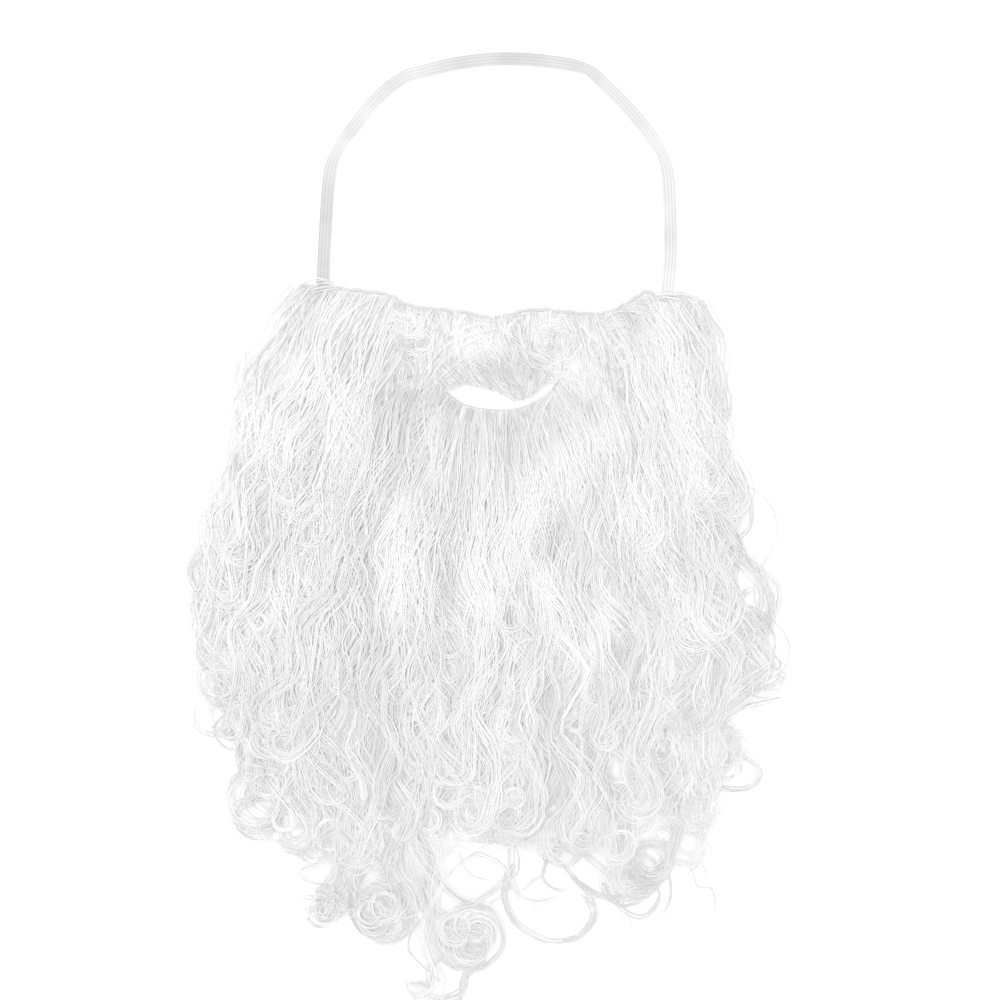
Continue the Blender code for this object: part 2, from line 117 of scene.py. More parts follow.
# The cloth's top edge, left to right.
TOP_EDGE = (
    # x, y
    (-101.0, 53.0),
    (-76.0, 51.0),
    (-57.5, 48.5),
    (-45.5, 43.0),
    (-20.0, 40.0),
    (-4.0, 37.0),
    (14.0, 41.0),
    (32.5, 40.0),
    (49.5, 39.0),
    (62.0, 43.5),
    (72.0, 50.0),
    (80.0, 46.5),
    (98.0, 47.0),
)

# The cloth's lower outline, right to left, round the chin.
CHIN_EDGE = (
    # x, y
    (97.0, 24.0),
    (82.0, -22.0),
    (52.0, -72.0),
    (18.0, -98.0),
    (-18.0, -98.0),
    (-54.0, -72.0),
    (-84.0, -22.0),
    (-100.0, 26.0),
)

# The mouth opening, anticlockwise from its left corner: the lower lip's arc, then the moustache's edge.
MOUTH = (
    # x, y
    (-28.0, 1.0),
    (-17.5, -5.5),
    (-1.0, -8.0),
    (12.0, -6.0),
    (22.5, 0.0),
    (28.0, 6.0),
    (21.0, 5.0),
    (14.5, -1.0),
    (8.0, -3.5),
    (-3.0, 2.0),
    (-17.5, 5.0),
)

# The hair mass in plan and in height, by rows across the beard.
MASS = np.array(
    [
        # y, left edge, right edge, share of HAIR_DEPTH
        (58.0, -98.0, 92.0, 0.26),
        (40.0, -103.0, 99.0, 0.34),
        (20.0, -108.0, 104.0, 0.44),
        (8.0, -115.0, 106.0, 0.52),
        (-5.0, -132.0, 110.0, 0.63),
        (-25.0, -136.0, 114.0, 0.77),
        (-42.0, -133.0, 121.0, 0.88),
        (-60.0, -149.0, 121.0, 0.96),
        (-80.0, -157.0, 117.0, 1.00),
        (-100.0, -156.0, 119.0, 1.00),
        (-120.0, -156.0, 136.0, 0.98),
        (-135.0, -149.0, 139.0, 0.94),
        (-150.0, -140.0, 126.0, 0.89),
        (-165.0, -140.0, 112.0, 0.84),
        (-180.0, -132.0, 113.0, 0.77),
        (-200.0, -124.0, 108.0, 0.68),
        (-215.0, -114.0, 100.0, 0.60),
        (-235.0, -100.0, 94.0, 0.44),
        (-265.0, -76.0, 76.0, 0.24),
        (-305.0, -44.0, 44.0, 0.10),
    ]
)

# Locks, one a row, as in the part's source. Positive bow and wave lean to the lock's left as it grows,
# positive turns curl anticlockwise seen from above, and rise lifts a lock above its neighbours.
LEFT_LOCKS = (
    # root_x, root_y, tip_x, tip_y, bow, wave, waves, width, ring_r, turns, rise
    (-97, 56, -121, -38, -17, 0, 1.0, 21, 9, 0.35, 0),
    (-92, 55, -143, -94, -9, 7, 1.0, 22, 10, 0.5, 1),
    (-84, 54, -146, -120, -4, 8, 1.5, 22, 10, 0.6, 0),
    (-76, 30, -130, -143, -6, 7, 2.0, 16, 9, -1.0, 2),
    (-66, 30, -129, -162, -4, 8, 2.0, 14, 9, -1.0, 0),
    (-60, 20, -109, -205, -8, 9, 2.5, 15, 13, -1.0, 1),
    (-52, 12, -98, -224, -5, 9, 2.5, 18, 9, -0.6, -1),
    (-58, -8, -92, -192, -3, 9, 2.0, 20, 9, 0.7, 3),
    (-80, -10, -114, -150, -5, 9, 1.5, 22, 9, 0.6, 3),
    (-74, 54, -106, -52, -8, 5, 1.0, 22, 9, 0.4, 2),
    (-58, 51, -84, -66, -6, 6, 1.0, 20, 8, -0.5, 2),
    (-90, 20, -126, -70, -6, 6, 1.0, 18, 8, -0.5, 4),
    (-46, 2, -74, -140, -5, 8, 1.5, 20, 8, 0.5, 4),
    (-70, -60, -104, -176, -4, 8, 1.5, 18, 8, -0.7, 5),
)
CHIN_LOCKS = (
    # root_x, root_y, tip_x, tip_y, bow, wave, waves, width, ring_r, turns, rise
    (-29, -8, -70, -228, -5, 8, 2.5, 18, 9, -0.9, 0),
    (-46, -90, -87, -244, -3, 7, 1.5, 14, 8, 0.7, -1),
    (-22, -12, -49, -246, -2, 7, 3.0, 18, 8.5, -1.1, 1),
    (-12, -14, -8, -206, -3, 6, 2.5, 18, 8, -1.1, 1),
    (-32, -130, -34, -290, -2, 5, 2.0, 11, 8, -0.55, -1),
    (3, -15, 4, -212, 3, 7, 2.5, 12, 9, 0.62, 0),
    (11, -13, 32, -212, 3, 8, 2.5, 18, 9, 0.9, 2),
    (19, -10, 56, -234, 3, 8, 2.5, 13, 12, 1.0, 0),
    (40, -90, 86, -230, 2, 8, 1.5, 14, 11, -0.75, 1),
    (-24, -14, -42, -150, -3, 6, 1.5, 20, 8, 0.4, 3),
    (-8, -16, -14, -180, 2, 7, 2.0, 20, 8, -0.4, 4),
    (8, -16, 16, -128, 2, 6, 1.5, 20, 8, 0.4, 3),
    (24, -12, 46, -166, 3, 8, 1.5, 20, 8, 0.5, 3),
    (-50, -70, -62, -200, -2, 8, 1.5, 16, 8, 0.6, 5),
    (20, -90, 10, -212, 2, 8, 1.5, 16, 8, -0.6, 5),
)
RIGHT_LOCKS = (
    # root_x, root_y, tip_x, tip_y, bow, wave, waves, width, ring_r, turns, rise
    (94, 50, 104, -34, 9, 2, 1.0, 20, 9, -0.3, 1),
    (84, 50, 115, -58, 4, 6, 1.5, 20, 9, -0.5, 0),
    (78, 36, 132, -108, -8, 7, 1.5, 16, 12, -0.7, 1),
    (70, 34, 122, -142, 6, 8, 2.0, 13, 14, 0.25, 0),
    (62, 30, 106, -180, 5, 8, 2.0, 14, 10, 1.0, 1),
    (60, -60, 98, -226, 5, 8, 1.5, 11, 8, -0.7, -1),
    (50, 12, 90, -204, 4, 9, 2.5, 18, 9, 0.7, 0),
    (44, 4, 74, -196, 3, 9, 2.0, 20, 9, -0.7, 2),
    (76, 0, 106, -118, 4, 9, 1.5, 22, 9, -0.6, 3),
    (68, 52, 92, -50, 5, 6, 1.0, 22, 9, 0.4, 2),
    (53, 44, 78, -66, 5, 6, 1.0, 20, 8, -0.4, 2),
    (42, -6, 66, -138, 3, 8, 1.5, 20, 8, 0.5, 4),
    (82, -40, 104, -160, 4, 8, 1.5, 18, 8, -0.7, 5),
)

# Wisps laid one by one after the photograph. Each row has the wisp's half-width, its strands, its tone from
# 0, grey, to 1, bright, how far it lies above the mass, and then its plan points from root to tip.
HAND_WISPS = {
    "moustache_left": (
        # The left sweep, the upper lip's edge and the small curls at its left end.
        (3.4, 8, 0.4, 0.6, (-3, 33), (-15, 31), (-28, 25), (-38, 14), (-44, 0), (-50, -22)),
        (3.2, 8, 0.5, 0.8, (-4, 28), (-13, 25), (-24, 18), (-34, 7), (-41, -8), (-50, -34)),
        (3.0, 8, 0.3, 0.6, (-5, 22), (-14, 18), (-23, 12), (-31, 4), (-37, -8)),
        (2.2, 9, 0.2, 0.6, (-6, 15), (-13, 12), (-20, 9), (-27, 4), (-32, -2)),
        (1.8, 8, 0.1, 0.2, (-9, 10), (-15, 8), (-21, 7), (-27, 4)),
        (2.6, 9, 0.6, 0.4, (-34, 42), (-38, 34), (-40, 22), (-41, 8), (-46, -10)),
        (2.6, 9, 0.4, 0.8, (-26, 39), (-31, 30), (-33, 20), (-33, 10)),
        (2.4, 9, 0.8, 0.8, (-18, 39), (-21, 31), (-21, 22), (-18, 14)),
        (2.4, 9, 0.6, 0.4, (-11, 37), (-12, 28), (-11, 20), (-8, 12)),
        (1.4, 6, 1.0, 2.0, (-52, 36), (-46, 38), (-40, 35), (-41, 29), (-47, 28), (-50, 32), (-46, 35)),
        (1.4, 6, 0.9, 2.0, (-45, 30), (-38, 31), (-34, 26), (-37, 21), (-43, 22), (-43, 27), (-39, 28)),
        (1.2, 5, 0.2, 1.6, (-55, 28), (-50, 24), (-44, 22), (-42, 17), (-46, 14), (-51, 17), (-49, 21)),
    ),
    "moustache_right": (
        # The tuft that falls over the mouth.
        (3.0, 14, 0.0, 2.0, (-9, 30), (-4, 20), (3, 9), (8, 0), (9, -3.5)),
        (2.8, 13, 0.1, 1.6, (-13, 27), (-8, 17), (-1, 8), (6, 1)),
        (2.8, 13, 0.2, 2.2, (-3, 31), (2, 20), (8, 9), (12, 1)),
        (2.6, 12, 0.0, 1.2, (2, 34), (6, 23), (11, 12), (16, 4)),
        # The swirl right of the tuft.
        (2.2, 9, 0.5, 1.6, (5, 36), (9, 33), (10, 26), (14, 20), (22, 16), (31, 15)),
        (2.0, 7, 0.5, 1.2, (13, 36), (15, 30), (17, 24), (22, 20), (29, 20)),
        (2.2, 7, 0.4, 1.0, (12, 33), (20, 36), (30, 34), (37, 29), (40, 21), (41, 10), (44, -4)),
        (2.4, 9, 0.4, 0.8, (20, 14), (27, 12), (33, 8), (38, 0), (42, -12)),
        (2.0, 8, 0.2, 0.6, (17, 9), (23, 8), (29, 8), (34, 3), (38, -5)),
        (2.6, 9, 0.5, 0.4, (29, 40), (34, 33), (38, 22), (40, 10), (42, -6)),
        (2.6, 9, 0.7, 0.8, (38, 39), (42, 30), (44, 18), (46, 4), (50, -16)),
        (2.4, 9, 0.3, 0.4, (22, 41), (21, 34), (24, 27), (30, 22)),
    ),
    "cheek_hair_left": (
        # Bright bands from the hem, and hair that swings out to the side.
        (4.6, 12, 0.6, 2.0, (-78, 48), (-84, 36), (-88, 20), (-84, 2), (-74, -16), (-72, -34)),
        (4.2, 11, 0.5, 2.2, (-66, 46), (-76, 38), (-84, 26), (-84, 10), (-78, -6), (-66, -22),
         (-62, -44)),
        (4.4, 13, 0.3, 2.6, (-56, 44), (-64, 34), (-74, 20), (-80, 4), (-80, -14), (-86, -36)),
        (4.2, 13, 0.6, 2.4, (-50, 42), (-56, 30), (-62, 14), (-66, -6), (-66, -28), (-72, -54)),
        (3.0, 12, 0.9, 1.6, (-98, 46), (-106, 28), (-114, 10), (-127, 4), (-133, -8), (-128, -22),
         (-118, -34)),
        (2.6, 11, 0.3, 2.2, (-94, 34), (-104, 14), (-118, -2), (-126, -14), (-122, -28), (-108, -38),
         (-100, -52)),
        (2.6, 11, 0.8, 2.6, (-90, 20), (-104, -4), (-114, -18), (-112, -34), (-98, -44), (-90, -60)),
        # Shoulders: hair that starts along the ends of the hem and turns down over them.
        (2.6, 9, 0.3, 3.2, (-84, 55), (-94, 55), (-101, 51), (-105, 42), (-108, 30), (-113, 16),
         (-122, 4)),
        (2.6, 9, 0.2, 3.0, (-80, 54), (-91, 54), (-99, 48), (-104, 34), (-110, 18), (-120, 2),
         (-132, -8)),
        (2.4, 9, 0.2, 0.6, (-72, 48), (-84, 46), (-94, 38), (-100, 24), (-108, 8), (-122, -6),
         (-130, -20)),
        (2.4, 8, 0.8, 1.0, (-70, 46), (-80, 40), (-90, 28), (-98, 12), (-110, -4), (-118, -22)),
        # Left outline: lobes and rings, from the top down.
        (2.0, 14, 0.55, 0.0, (-140, -88), (-146, -104), (-151, -118), (-148, -130), (-139, -137),
         (-126, -138)),
        (1.9, 12, 0.25, 1.0, (-132, -96), (-140, -112), (-143, -124), (-136, -132), (-124, -132)),
        (0.6, 4, -0.05, 0.0, (-120, -138), (-132, -140), (-141, -145), (-143, -152), (-139, -158),
         (-132, -158)),
        (1.7, 12, -0.05, 0.6, (-112, -150), (-124, -149), (-134, -152), (-137, -157), (-130, -161),
         (-118, -162)),
        (0.8, 5, -0.05, 0.0, (-124, -156), (-135, -158), (-143, -164), (-143, -171), (-137, -177),
         (-128, -178)),
        (0.8, 5, -0.15, 0.4, (-130, -158), (-134, -165), (-133, -173), (-127, -177)),
        (1.9, 12, 0.05, 0.0, (-128, -168), (-131, -180), (-128, -190), (-119, -195), (-110, -190),
         (-108, -180)),
        (1.5, 9, 0.05, 0.0, (-98, -196), (-110, -201), (-122, -202), (-132, -205), (-134, -214),
         (-128, -221), (-119, -222), (-111, -215), (-107, -207), (-100, -203)),
        (0.8, 5, 0.05, 0.4, (-106, -208), (-114, -216), (-124, -219), (-131, -214), (-130, -207),
         (-120, -204)),
        (1.0, 7, -0.05, 0.0, (-108, -198), (-102, -208), (-95, -216), (-86, -217), (-79, -210)),
        (0.6, 4, -0.05, 0.0, (-84, -210), (-92, -219), (-99, -227), (-99, -232), (-94, -229),
         (-90, -221)),
        (0.6, 4, -0.05, 0.0, (-88, -214), (-87, -226), (-93, -234), (-100, -238), (-97, -243),
         (-84, -244), (-74, -240)),
        (1.2, 8, 0.05, 0.0, (-78, -222), (-80, -234), (-78, -246), (-86, -252), (-96, -251),
         (-105, -249)),
        (1.4, 9, 0.05, 0.0, (-72, -236), (-80, -250), (-90, -256), (-98, -258), (-102, -262)),
        (1.0, 7, 0.15, 0.0, (-70, -248), (-80, -260), (-90, -266), (-97, -262), (-94, -256)),
    ),
    "cheek_hair_right": (
        # The arcs that turn over beside the moustache and the bright band round them.
        (2.4, 10, 0.5, 1.4, (46, 38), (50, 28), (52, 14), (55, -4), (58, -30)),
        (1.8, 8, 0.3, 2.6, (52, 24), (56, 30), (62, 31), (66, 26), (68, 17), (70, 4), (74, -18)),
        (1.8, 8, 0.6, 3.0, (50, 30), (56, 35), (64, 35), (70, 29), (72, 18), (74, 4), (78, -20)),
        (2.0, 9, 0.3, 3.2, (50, 35), (57, 39), (67, 39), (74, 33), (76, 22), (78, 6), (82, -22)),
        (2.6, 12, 1.0, 3.4, (60, 43), (70, 43), (78, 38), (81, 28), (81, 14), (84, -8), (88, -30)),
        (1.6, 7, 0.9, 3.0, (55, 21), (59, 25), (63, 22), (62, 16), (57, 13), (53, 16)),
        # Shoulders: hair that starts along the ends of the hem and turns down over them.
        (2.6, 9, 0.5, 3.0, (80, 50), (90, 49.5), (98, 46), (102, 36), (105, 24), (108, 6), (112, -16)),
        (2.6, 9, 0.2, 3.0, (76, 49), (86, 49), (95, 44), (99, 32), (102, 16), (104, -4), (108, -24)),
        (2.4, 9, 0.7, 3.2, (86, 50), (96, 49), (102, 42), (105, 32), (107, 16), (107, -2), (106, -22)),
        (2.4, 9, 0.1, 0.6, (70, 44), (84, 42), (93, 34), (96, 20), (99, 4), (98, -16), (102, -36)),
        (2.2, 8, 0.8, 1.4, (72, 40), (82, 36), (88, 26), (90, 10), (93, -8), (92, -30)),
        # Right outline: the stray hair, the loose strands beside it and the loop and tuft at the side.
        (0.4, 3, -0.15, -3.0, (98, -20), (108, -30), (118, -42), (128, -48), (135, -56), (138, -66),
         (136, -76), (130, -86), (126, -96), (127, -108)),
        (1.2, 7, 0.05, 0.0, (98, -22), (108, -32), (115, -41), (122, -46), (125, -55), (124, -66),
         (118, -73), (113, -84), (112, -96), (120, -105), (131, -112), (137, -122), (135, -131),
         (126, -138)),
        (2.2, 14, 0.35, 1.0, (96, -26), (107, -38), (114, -50), (115, -62), (109, -76), (108, -92),
         (115, -104), (126, -113), (131, -124), (126, -134), (116, -138)),
        (0.5, 3, -0.05, -1.0, (122, -104), (132, -110), (141, -119), (144, -128), (140, -138),
         (130, -143)),
        (0.6, 3, 0.05, -2.0, (104, -6), (110, -16), (113, -26), (118, -34), (120, -44)),
        (1.3, 11, 0.05, 0.0, (110, -160), (119, -156), (128, -154), (136, -152), (141, -151)),
        (1.5, 9, 0.05, 0.0, (86, -176), (94, -188), (104, -194), (114, -197), (124, -196), (129, -190),
         (126, -184), (118, -180), (109, -179), (104, -183)),
        (1.0, 7, 0.25, 1.0, (90, -180), (98, -189), (108, -192), (117, -190), (120, -185), (114, -182)),
        (1.4, 8, 0.05, 1.0, (112, -158), (110, -166), (104, -173), (96, -178), (90, -176)),
        (0.8, 5, -0.05, 1.0, (78, -160), (88, -167), (93, -174), (91, -181), (95, -190), (94, -198)),
        (0.7, 4, -0.05, 0.0, (84, -204), (94, -212), (99, -221), (101, -229), (98, -236), (91, -240)),
        (0.4, 3, -0.15, 0.0, (88, -214), (97, -220), (104, -225), (106, -231)),
        (0.4, 3, -0.15, 0.0, (92, -232), (96, -240), (98, -246), (105, -247), (107, -256), (103, -261),
         (96, -264)),
        (0.4, 2, -0.05, 0.0, (100, -232), (102, -240), (105, -247), (106, -252)),
    ),
    "chin_hair": (
        # The open loops under the right side.
        (1.0, 8, -0.05, 0.0, (-6, -252), (1, -247), (4, -242), (2, -234), (-4, -229), (-13, -226),
         (-21, -232), (-31, -243)),
        (1.7, 11, 0.15, 0.0, (6, -232), (2, -240), (-8, -248), (-19, -254), (-28, -256)),
        (0.4, 2, -0.25, 0.0, (-21, -226), (-18, -234), (-11, -239), (0, -241)),
        (1.9, 12, 0.25, 0.0, (4, -214), (4, -226), (4, -238), (8, -248), (18, -252), (28, -250),
         (36, -246)),
        (1.5, 10, -0.2, 0.0, (2, -236), (1, -248), (5, -260), (13, -267), (24, -272), (35, -271),
         (43, -264), (45, -256), (40, -249), (30, -244)),
        (1.6, 9, -0.1, 0.0, (24, -226), (34, -238), (43, -249), (46, -258), (41, -267), (31, -271),
         (21, -271)),
        (0.8, 5, -0.05, 0.0, (20, -226), (21, -236), (14, -242), (8, -248)),
        (0.7, 4, -0.05, 0.0, (6, -220), (9, -227), (9, -235), (5, -240)),
        (1.1, 8, -0.05, 0.0, (28, -222), (22, -230), (20, -239), (26, -245), (34, -246)),
        (2.0, 14, 0.25, 0.5, (-8, -219), (8, -221), (20, -222), (32, -224), (42, -230)),
        (1.9, 12, 0.25, 0.0, (38, -224), (48, -234), (60, -241), (72, -241), (80, -234)),
        (1.6, 11, -0.1, 0.0, (34, -238), (45, -247), (56, -250), (68, -247), (77, -240), (81, -228)),
        (1.2, 8, -0.15, 0.0, (50, -242), (58, -254), (68, -260), (75, -257), (78, -249), (75, -242)),
        (0.7, 4, -0.05, 0.0, (80, -220), (82, -232), (84, -244), (84, -252), (80, -259), (74, -262)),
        (0.6, 4, -0.05, 0.0, (86, -218), (84, -230), (79, -239), (73, -243)),
        (0.4, 2, -0.05, 0.0, (60, -252), (62, -259), (65, -269)),
        (0.4, 3, -0.05, 0.0, (72, -222), (69, -231), (63, -236)),
        (0.4, 3, -0.05, 0.0, (54, -214), (60, -216), (63, -221), (58, -225), (55, -221)),
        # The two ball ringlets and the tail.
        (2.2, 15, 0.05, 0.0, (-34, -226), (-36, -246), (-30, -258), (-18, -258), (-8, -264), (-7, -274),
         (-14, -282), (-24, -281), (-28, -272), (-22, -265), (-15, -269), (-18, -275)),
        (2.2, 15, 0.35, 1.0, (-44, -228), (-40, -246), (-34, -256), (-24, -262), (-13, -262), (-9, -271),
         (-15, -278), (-23, -274), (-20, -268)),
        (1.8, 10, 0.0, 0.0, (-38, -222), (-31, -240), (-19, -251), (-6, -255), (0, -264), (0, -275),
         (-8, -284), (-19, -286), (-28, -280), (-32, -270), (-27, -261), (-18, -259), (-12, -265),
         (-14, -273)),
        (1.6, 8, 0.0, 0.0, (-38, -236), (-41, -250), (-36, -262), (-34, -274), (-26, -284), (-16, -285),
         (-8, -277), (-8, -267), (-16, -261)),
        (0.7, 4, -0.15, 0.0, (-38, -258), (-45, -268), (-46, -277), (-40, -284), (-32, -291),
         (-24, -297)),
        (1.7, 12, -0.05, 0.0, (-8, -268), (-10, -280), (-18, -289), (-20, -297), (-30, -301), (-40, -298),
         (-48, -296)),
        (1.4, 9, 0.05, 0.0, (-26, -276), (-36, -286), (-36, -294), (-44, -293), (-50, -297)),
        (1.0, 7, -0.15, 0.0, (-14, -284), (-20, -293), (-20, -301), (-26, -303)),
        (2.0, 15, 0.05, 0.0, (-62, -226), (-72, -240), (-75, -254), (-70, -266), (-58, -272), (-48, -267),
         (-46, -257), (-54, -250), (-64, -255), (-62, -264), (-54, -263)),
        (2.0, 15, 0.35, 0.6, (-50, -230), (-62, -244), (-70, -252), (-69, -262), (-60, -268), (-52, -262),
         (-54, -255), (-61, -257)),
        (1.8, 9, -0.1, 0.0, (-56, -222), (-66, -234), (-73, -246), (-73, -260), (-64, -270), (-53, -269),
         (-46, -260), (-49, -250), (-58, -247), (-65, -253), (-63, -261)),
    ),
}

# Which way the moustache's hair grows, at points of the plan.
MOUSTACHE_FLOW = np.array(
    [
        # x, y, and the direction there
        (-60, 44, -0.5, -1.0),
        (-50, 38, -0.9, 0.1),
        (-52, 28, 0.2, -1.0),
        (-43, 26, 0.8, 0.4),
        (-44, 34, -0.2, 1.0),
        (-36, 38, 0.0, -1.0),
        (-34, 24, -0.3, -1.0),
        (-38, 10, -0.2, -1.0),
        (-44, -4, -0.5, -1.0),
        (-24, 38, 0.1, -1.0),
        (-22, 24, -0.4, -0.8),
        (-27, 12, -0.5, -0.9),
        (-18, 10, 0.7, -0.7),
        (-10, 38, 0.1, -1.0),
        (-10, 24, 0.5, -0.9),
        (-6, 12, 0.7, -0.8),
        (4, 3, 0.5, -0.8),
        (3, 32, 0.3, -0.9),
        (8, 18, 0.5, -0.9),
        (13, 7, 0.0, -1.0),
        (11, 37, -0.6, -0.7),
        (14, 28, 0.0, -1.0),
        (18, 19, 0.7, -0.7),
        (26, 16, 1.0, 0.2),
        (34, 21, 0.6, 0.9),
        (33, 31, -0.6, 0.9),
        (24, 34, -1.0, -0.1),
        (24, 26, 0.3, 1.0),
        (22, 9, 0.8, -0.5),
        (32, 7, 0.5, -0.8),
        (42, 38, 0.2, -1.0),
        (44, 24, 0.1, -1.0),
        (44, 6, 0.3, -1.0),
        (52, 30, 0.6, 0.8),
        (60, 36, 1.0, 0.1),
        (68, 32, 0.7, -0.7),
        (70, 20, 0.1, -1.0),
        (54, 14, 0.2, -1.0),
    ]
)

# Bands where the hair catches the light: half-width, strength and plan points.
BRIGHT_BANDS = (
    (7.0, 0.9, (-52, -58), (-51, -80), (-53, -104)),
    (9.0, 0.7, (50, -20), (22, -46), (0, -80), (-12, -100)),
    (5.0, 0.9, (20, -90), (28, -114), (37, -132)),
    (4.5, 0.9, (37, -132), (48, -116), (52, -96)),
    (6.0, 0.8, (79, 42), (80, 16)),
    (8.0, 0.7, (86, 10), (92, -24), (96, -44)),
    (7.0, 0.7, (-101, 12), (-90, 2), (-78, -6)),
    (7.0, 0.5, (-88, 24), (-80, 0), (-76, -16)),
    (7.0, 0.7, (-84, 42), (-78, 38)),
    (9.0, 0.6, (-122, -14), (-106, -24)),
    (6.0, 0.5, (-78, -20), (-78, -42)),
    (9.0, 0.6, (-20, 27), (-10, 28)),
    (6.0, 0.6, (-54, 34), (-44, 32)),
    (6.0, 0.4, (20, 34), (26, 36)),
    (7.0, 0.5, (32, 14), (40, 4)),
    (8.0, 0.6, (62, -52), (70, -74)),
    (8.0, 0.6, (-100, -92), (-112, -106)),
    (7.0, 0.6, (86, -96), (92, -116)),
)

# Ringlets that hang end on, as round balls of crossing hair: plan middle, radius and wisps.
RINGLET_BALLS = (
    ("chin_hair", -17.5, -267.5, 15.0, 11),
    ("chin_hair", -60.0, -258.5, 13.0, 10),
    ("cheek_hair_left", -88.0, -254.0, 8.0, 5),
    ("cheek_hair_left", -122.0, -184.0, 8.0, 4),
)

Wisp = namedtuple("Wisp", "line half far strands tone")

# How many wisps there are, and how many strands in one.
WISPS_A_LOCK = 4
STRANDS_A_WISP = 10
FIELD_WISPS = 144
MOUSTACHE_WISPS = 270
MOUSTACHE_STRANDS = 6

# Each zone of the mass: its locks, its shares across, its share of the filling wisps, then how many low wisps
# and how many short curls it has.
ZONES = (
    ("cheek_hair_left", LEFT_LOCKS, (-0.98, -0.28), 0.36, 12, 40),
    ("cheek_hair_right", RIGHT_LOCKS, (0.38, 0.98), 0.31, 11, 33),
    ("chin_hair", CHIN_LOCKS, (-0.28, 0.38), 0.33, 10, 30),
)

# A wisp has a point each STRAIGHT_STEP where it runs straight, and at each bend of so many radians.
STRAIGHT_STEP = 14.0
BEND_STEP = 0.74
HAND_BEND_STEP = 0.42
BALL_BEND_STEP = 0.5

# A wisp starts at this share of its width, narrows by this share to its tip and rolls up and down by so much.
ROOT_SPREAD = 0.4
TIP_NARROWING = 0.42
ROLL = 1.3

# How much a wisp's tone swings along it, in painted highlight bands, and how much darker its root is, in
# painted shade.
PAINTED_SHEEN_SWING = 0.16
ROOT_SHADE = 0.25

# Wisps laid one by one are this many times as wide as their rows say.
HAND_SPREAD = 1.3

# Roots start just below the cloth's top edge.
ROOT_BELOW_HEM = 0.2

# Small waves on the main locks, and the long waves of the hair between them: reach and length.
RIPPLE = 3.0
RIPPLE_LENGTH = (32, 44)
WAVE_REACH = 4.9
WAVE_LENGTH = 41.0

# Hair grows out this quickly from its straight roots, and about a third of it starts lower down.
GROWN_OVER = 26
ROOTED_SHARE = 0.65
STARTS_LOWER = (10, 120)

# Hair is fullest at this height in plan, and a wisp lies somewhere between these shares of the mass there.
FULLEST_Y = -90.0
FIELD_DEPTH = (0.78, 1.04)

# Hair keeps within this share of the mass's half-width.
STREAM_EDGE = 0.95

# Past the moustache's left and right ends the hair starts at the top edge. Further in it starts beside the
# mouth, at this height, or at the lower lip.
MOUSTACHE_LEFT, MOUSTACHE_RIGHT = -42, 48
BESIDE_MOUTH = 33
BESIDE_MOUTH_Y = 12.0
MOUTH_HALF = 28

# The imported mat: its shares of the mass's height and half-width, and how far down it reaches.
MAT_SHARE = 0.86
MAT_EDGE = 0.86
MAT_FOOT = -206.0

# The floor's side and how far below the beard it lies, in metres.
FLOOR_SIZE = 6.0
FLOOR_DROP = 0.0003

# The camera sees this much across, round this plan point.
SEEN_ACROSS = 500.0
PICTURE_MIDDLE = (-1.0, -52.5)


def put(x, y, z):
    """A plan point in millimetres as a point of the frame in metres."""
    return Vector(((x + PLAN_X) * MM, (y + PLAN_Y) * MM, z * MM))


def linear(hex_colour):
    """An sRGB hex colour as linear red, green, blue and full alpha."""
    made = []
    for k in (1, 3, 5):
        c = int(hex_colour[k:k + 2], 16) / 255
        made.append(c / 12.92 if c <= 0.04045 else ((c + 0.055) / 1.055) ** 2.4)
    return (*made, 1.0)


def add_node(tree, kind, settings=None, inputs=None):
    """Add a node; settings are its properties, and inputs are values or other nodes' outputs."""
    node = tree.nodes.new(kind)
    for name, value in (settings or {}).items():
        setattr(node, name, value)
    for key, value in (inputs or {}).items():
        if isinstance(value, bpy.types.NodeSocket):
            tree.links.new(value, node.inputs[key])
        else:
            node.inputs[key].default_value = value
    return node


def new_tree(name, inputs):
    """A Geometry Nodes tree with these named inputs beside its geometry, and its input sockets."""
    tree = bpy.data.node_groups.new(name, "GeometryNodeTree")
    tree.interface.new_socket("Geometry", in_out="INPUT", socket_type="NodeSocketGeometry")
    for label, kind, value in inputs:
        socket = tree.interface.new_socket(label, in_out="INPUT", socket_type="NodeSocket" + kind)
        if value is not None:
            socket.default_value = value
    tree.interface.new_socket("Geometry", in_out="OUTPUT", socket_type="NodeSocketGeometry")
    return tree, tree.nodes.new("NodeGroupInput").outputs


def through_nodes(name, mesh, tree, values):
    """The mesh put through a Geometry Nodes tree and made plain, as a new object at the origin."""
    item = bpy.data.objects.new(name, mesh)
    bpy.context.scene.collection.objects.link(item)
    step = item.modifiers.new("nodes", "NODES")
    keys = {s.name: s.identifier for s in tree.interface.items_tree if s.in_out == "INPUT"}
    step.node_group = tree
    for key, value in values.items():
        step[keys[key]] = value
    bpy.context.view_layer.update()
    graph = bpy.context.evaluated_depsgraph_get()
    made = bpy.data.meshes.new_from_object(item.evaluated_get(graph))
    item.modifiers.clear()
    item.data = made
    return item


def new_item(name, mesh, finish=None):
    """A new object at the origin that shows this mesh in this finish."""
    item = bpy.data.objects.new(name, mesh)
    bpy.context.scene.collection.objects.link(item)
    if finish is not None:
        mesh.materials.append(finish)
    return item


def finished(item, nodes):
    """Let a finished piece ride and stand for its CAD nodes."""
    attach(item, "root")
    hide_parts(*nodes)
    return item


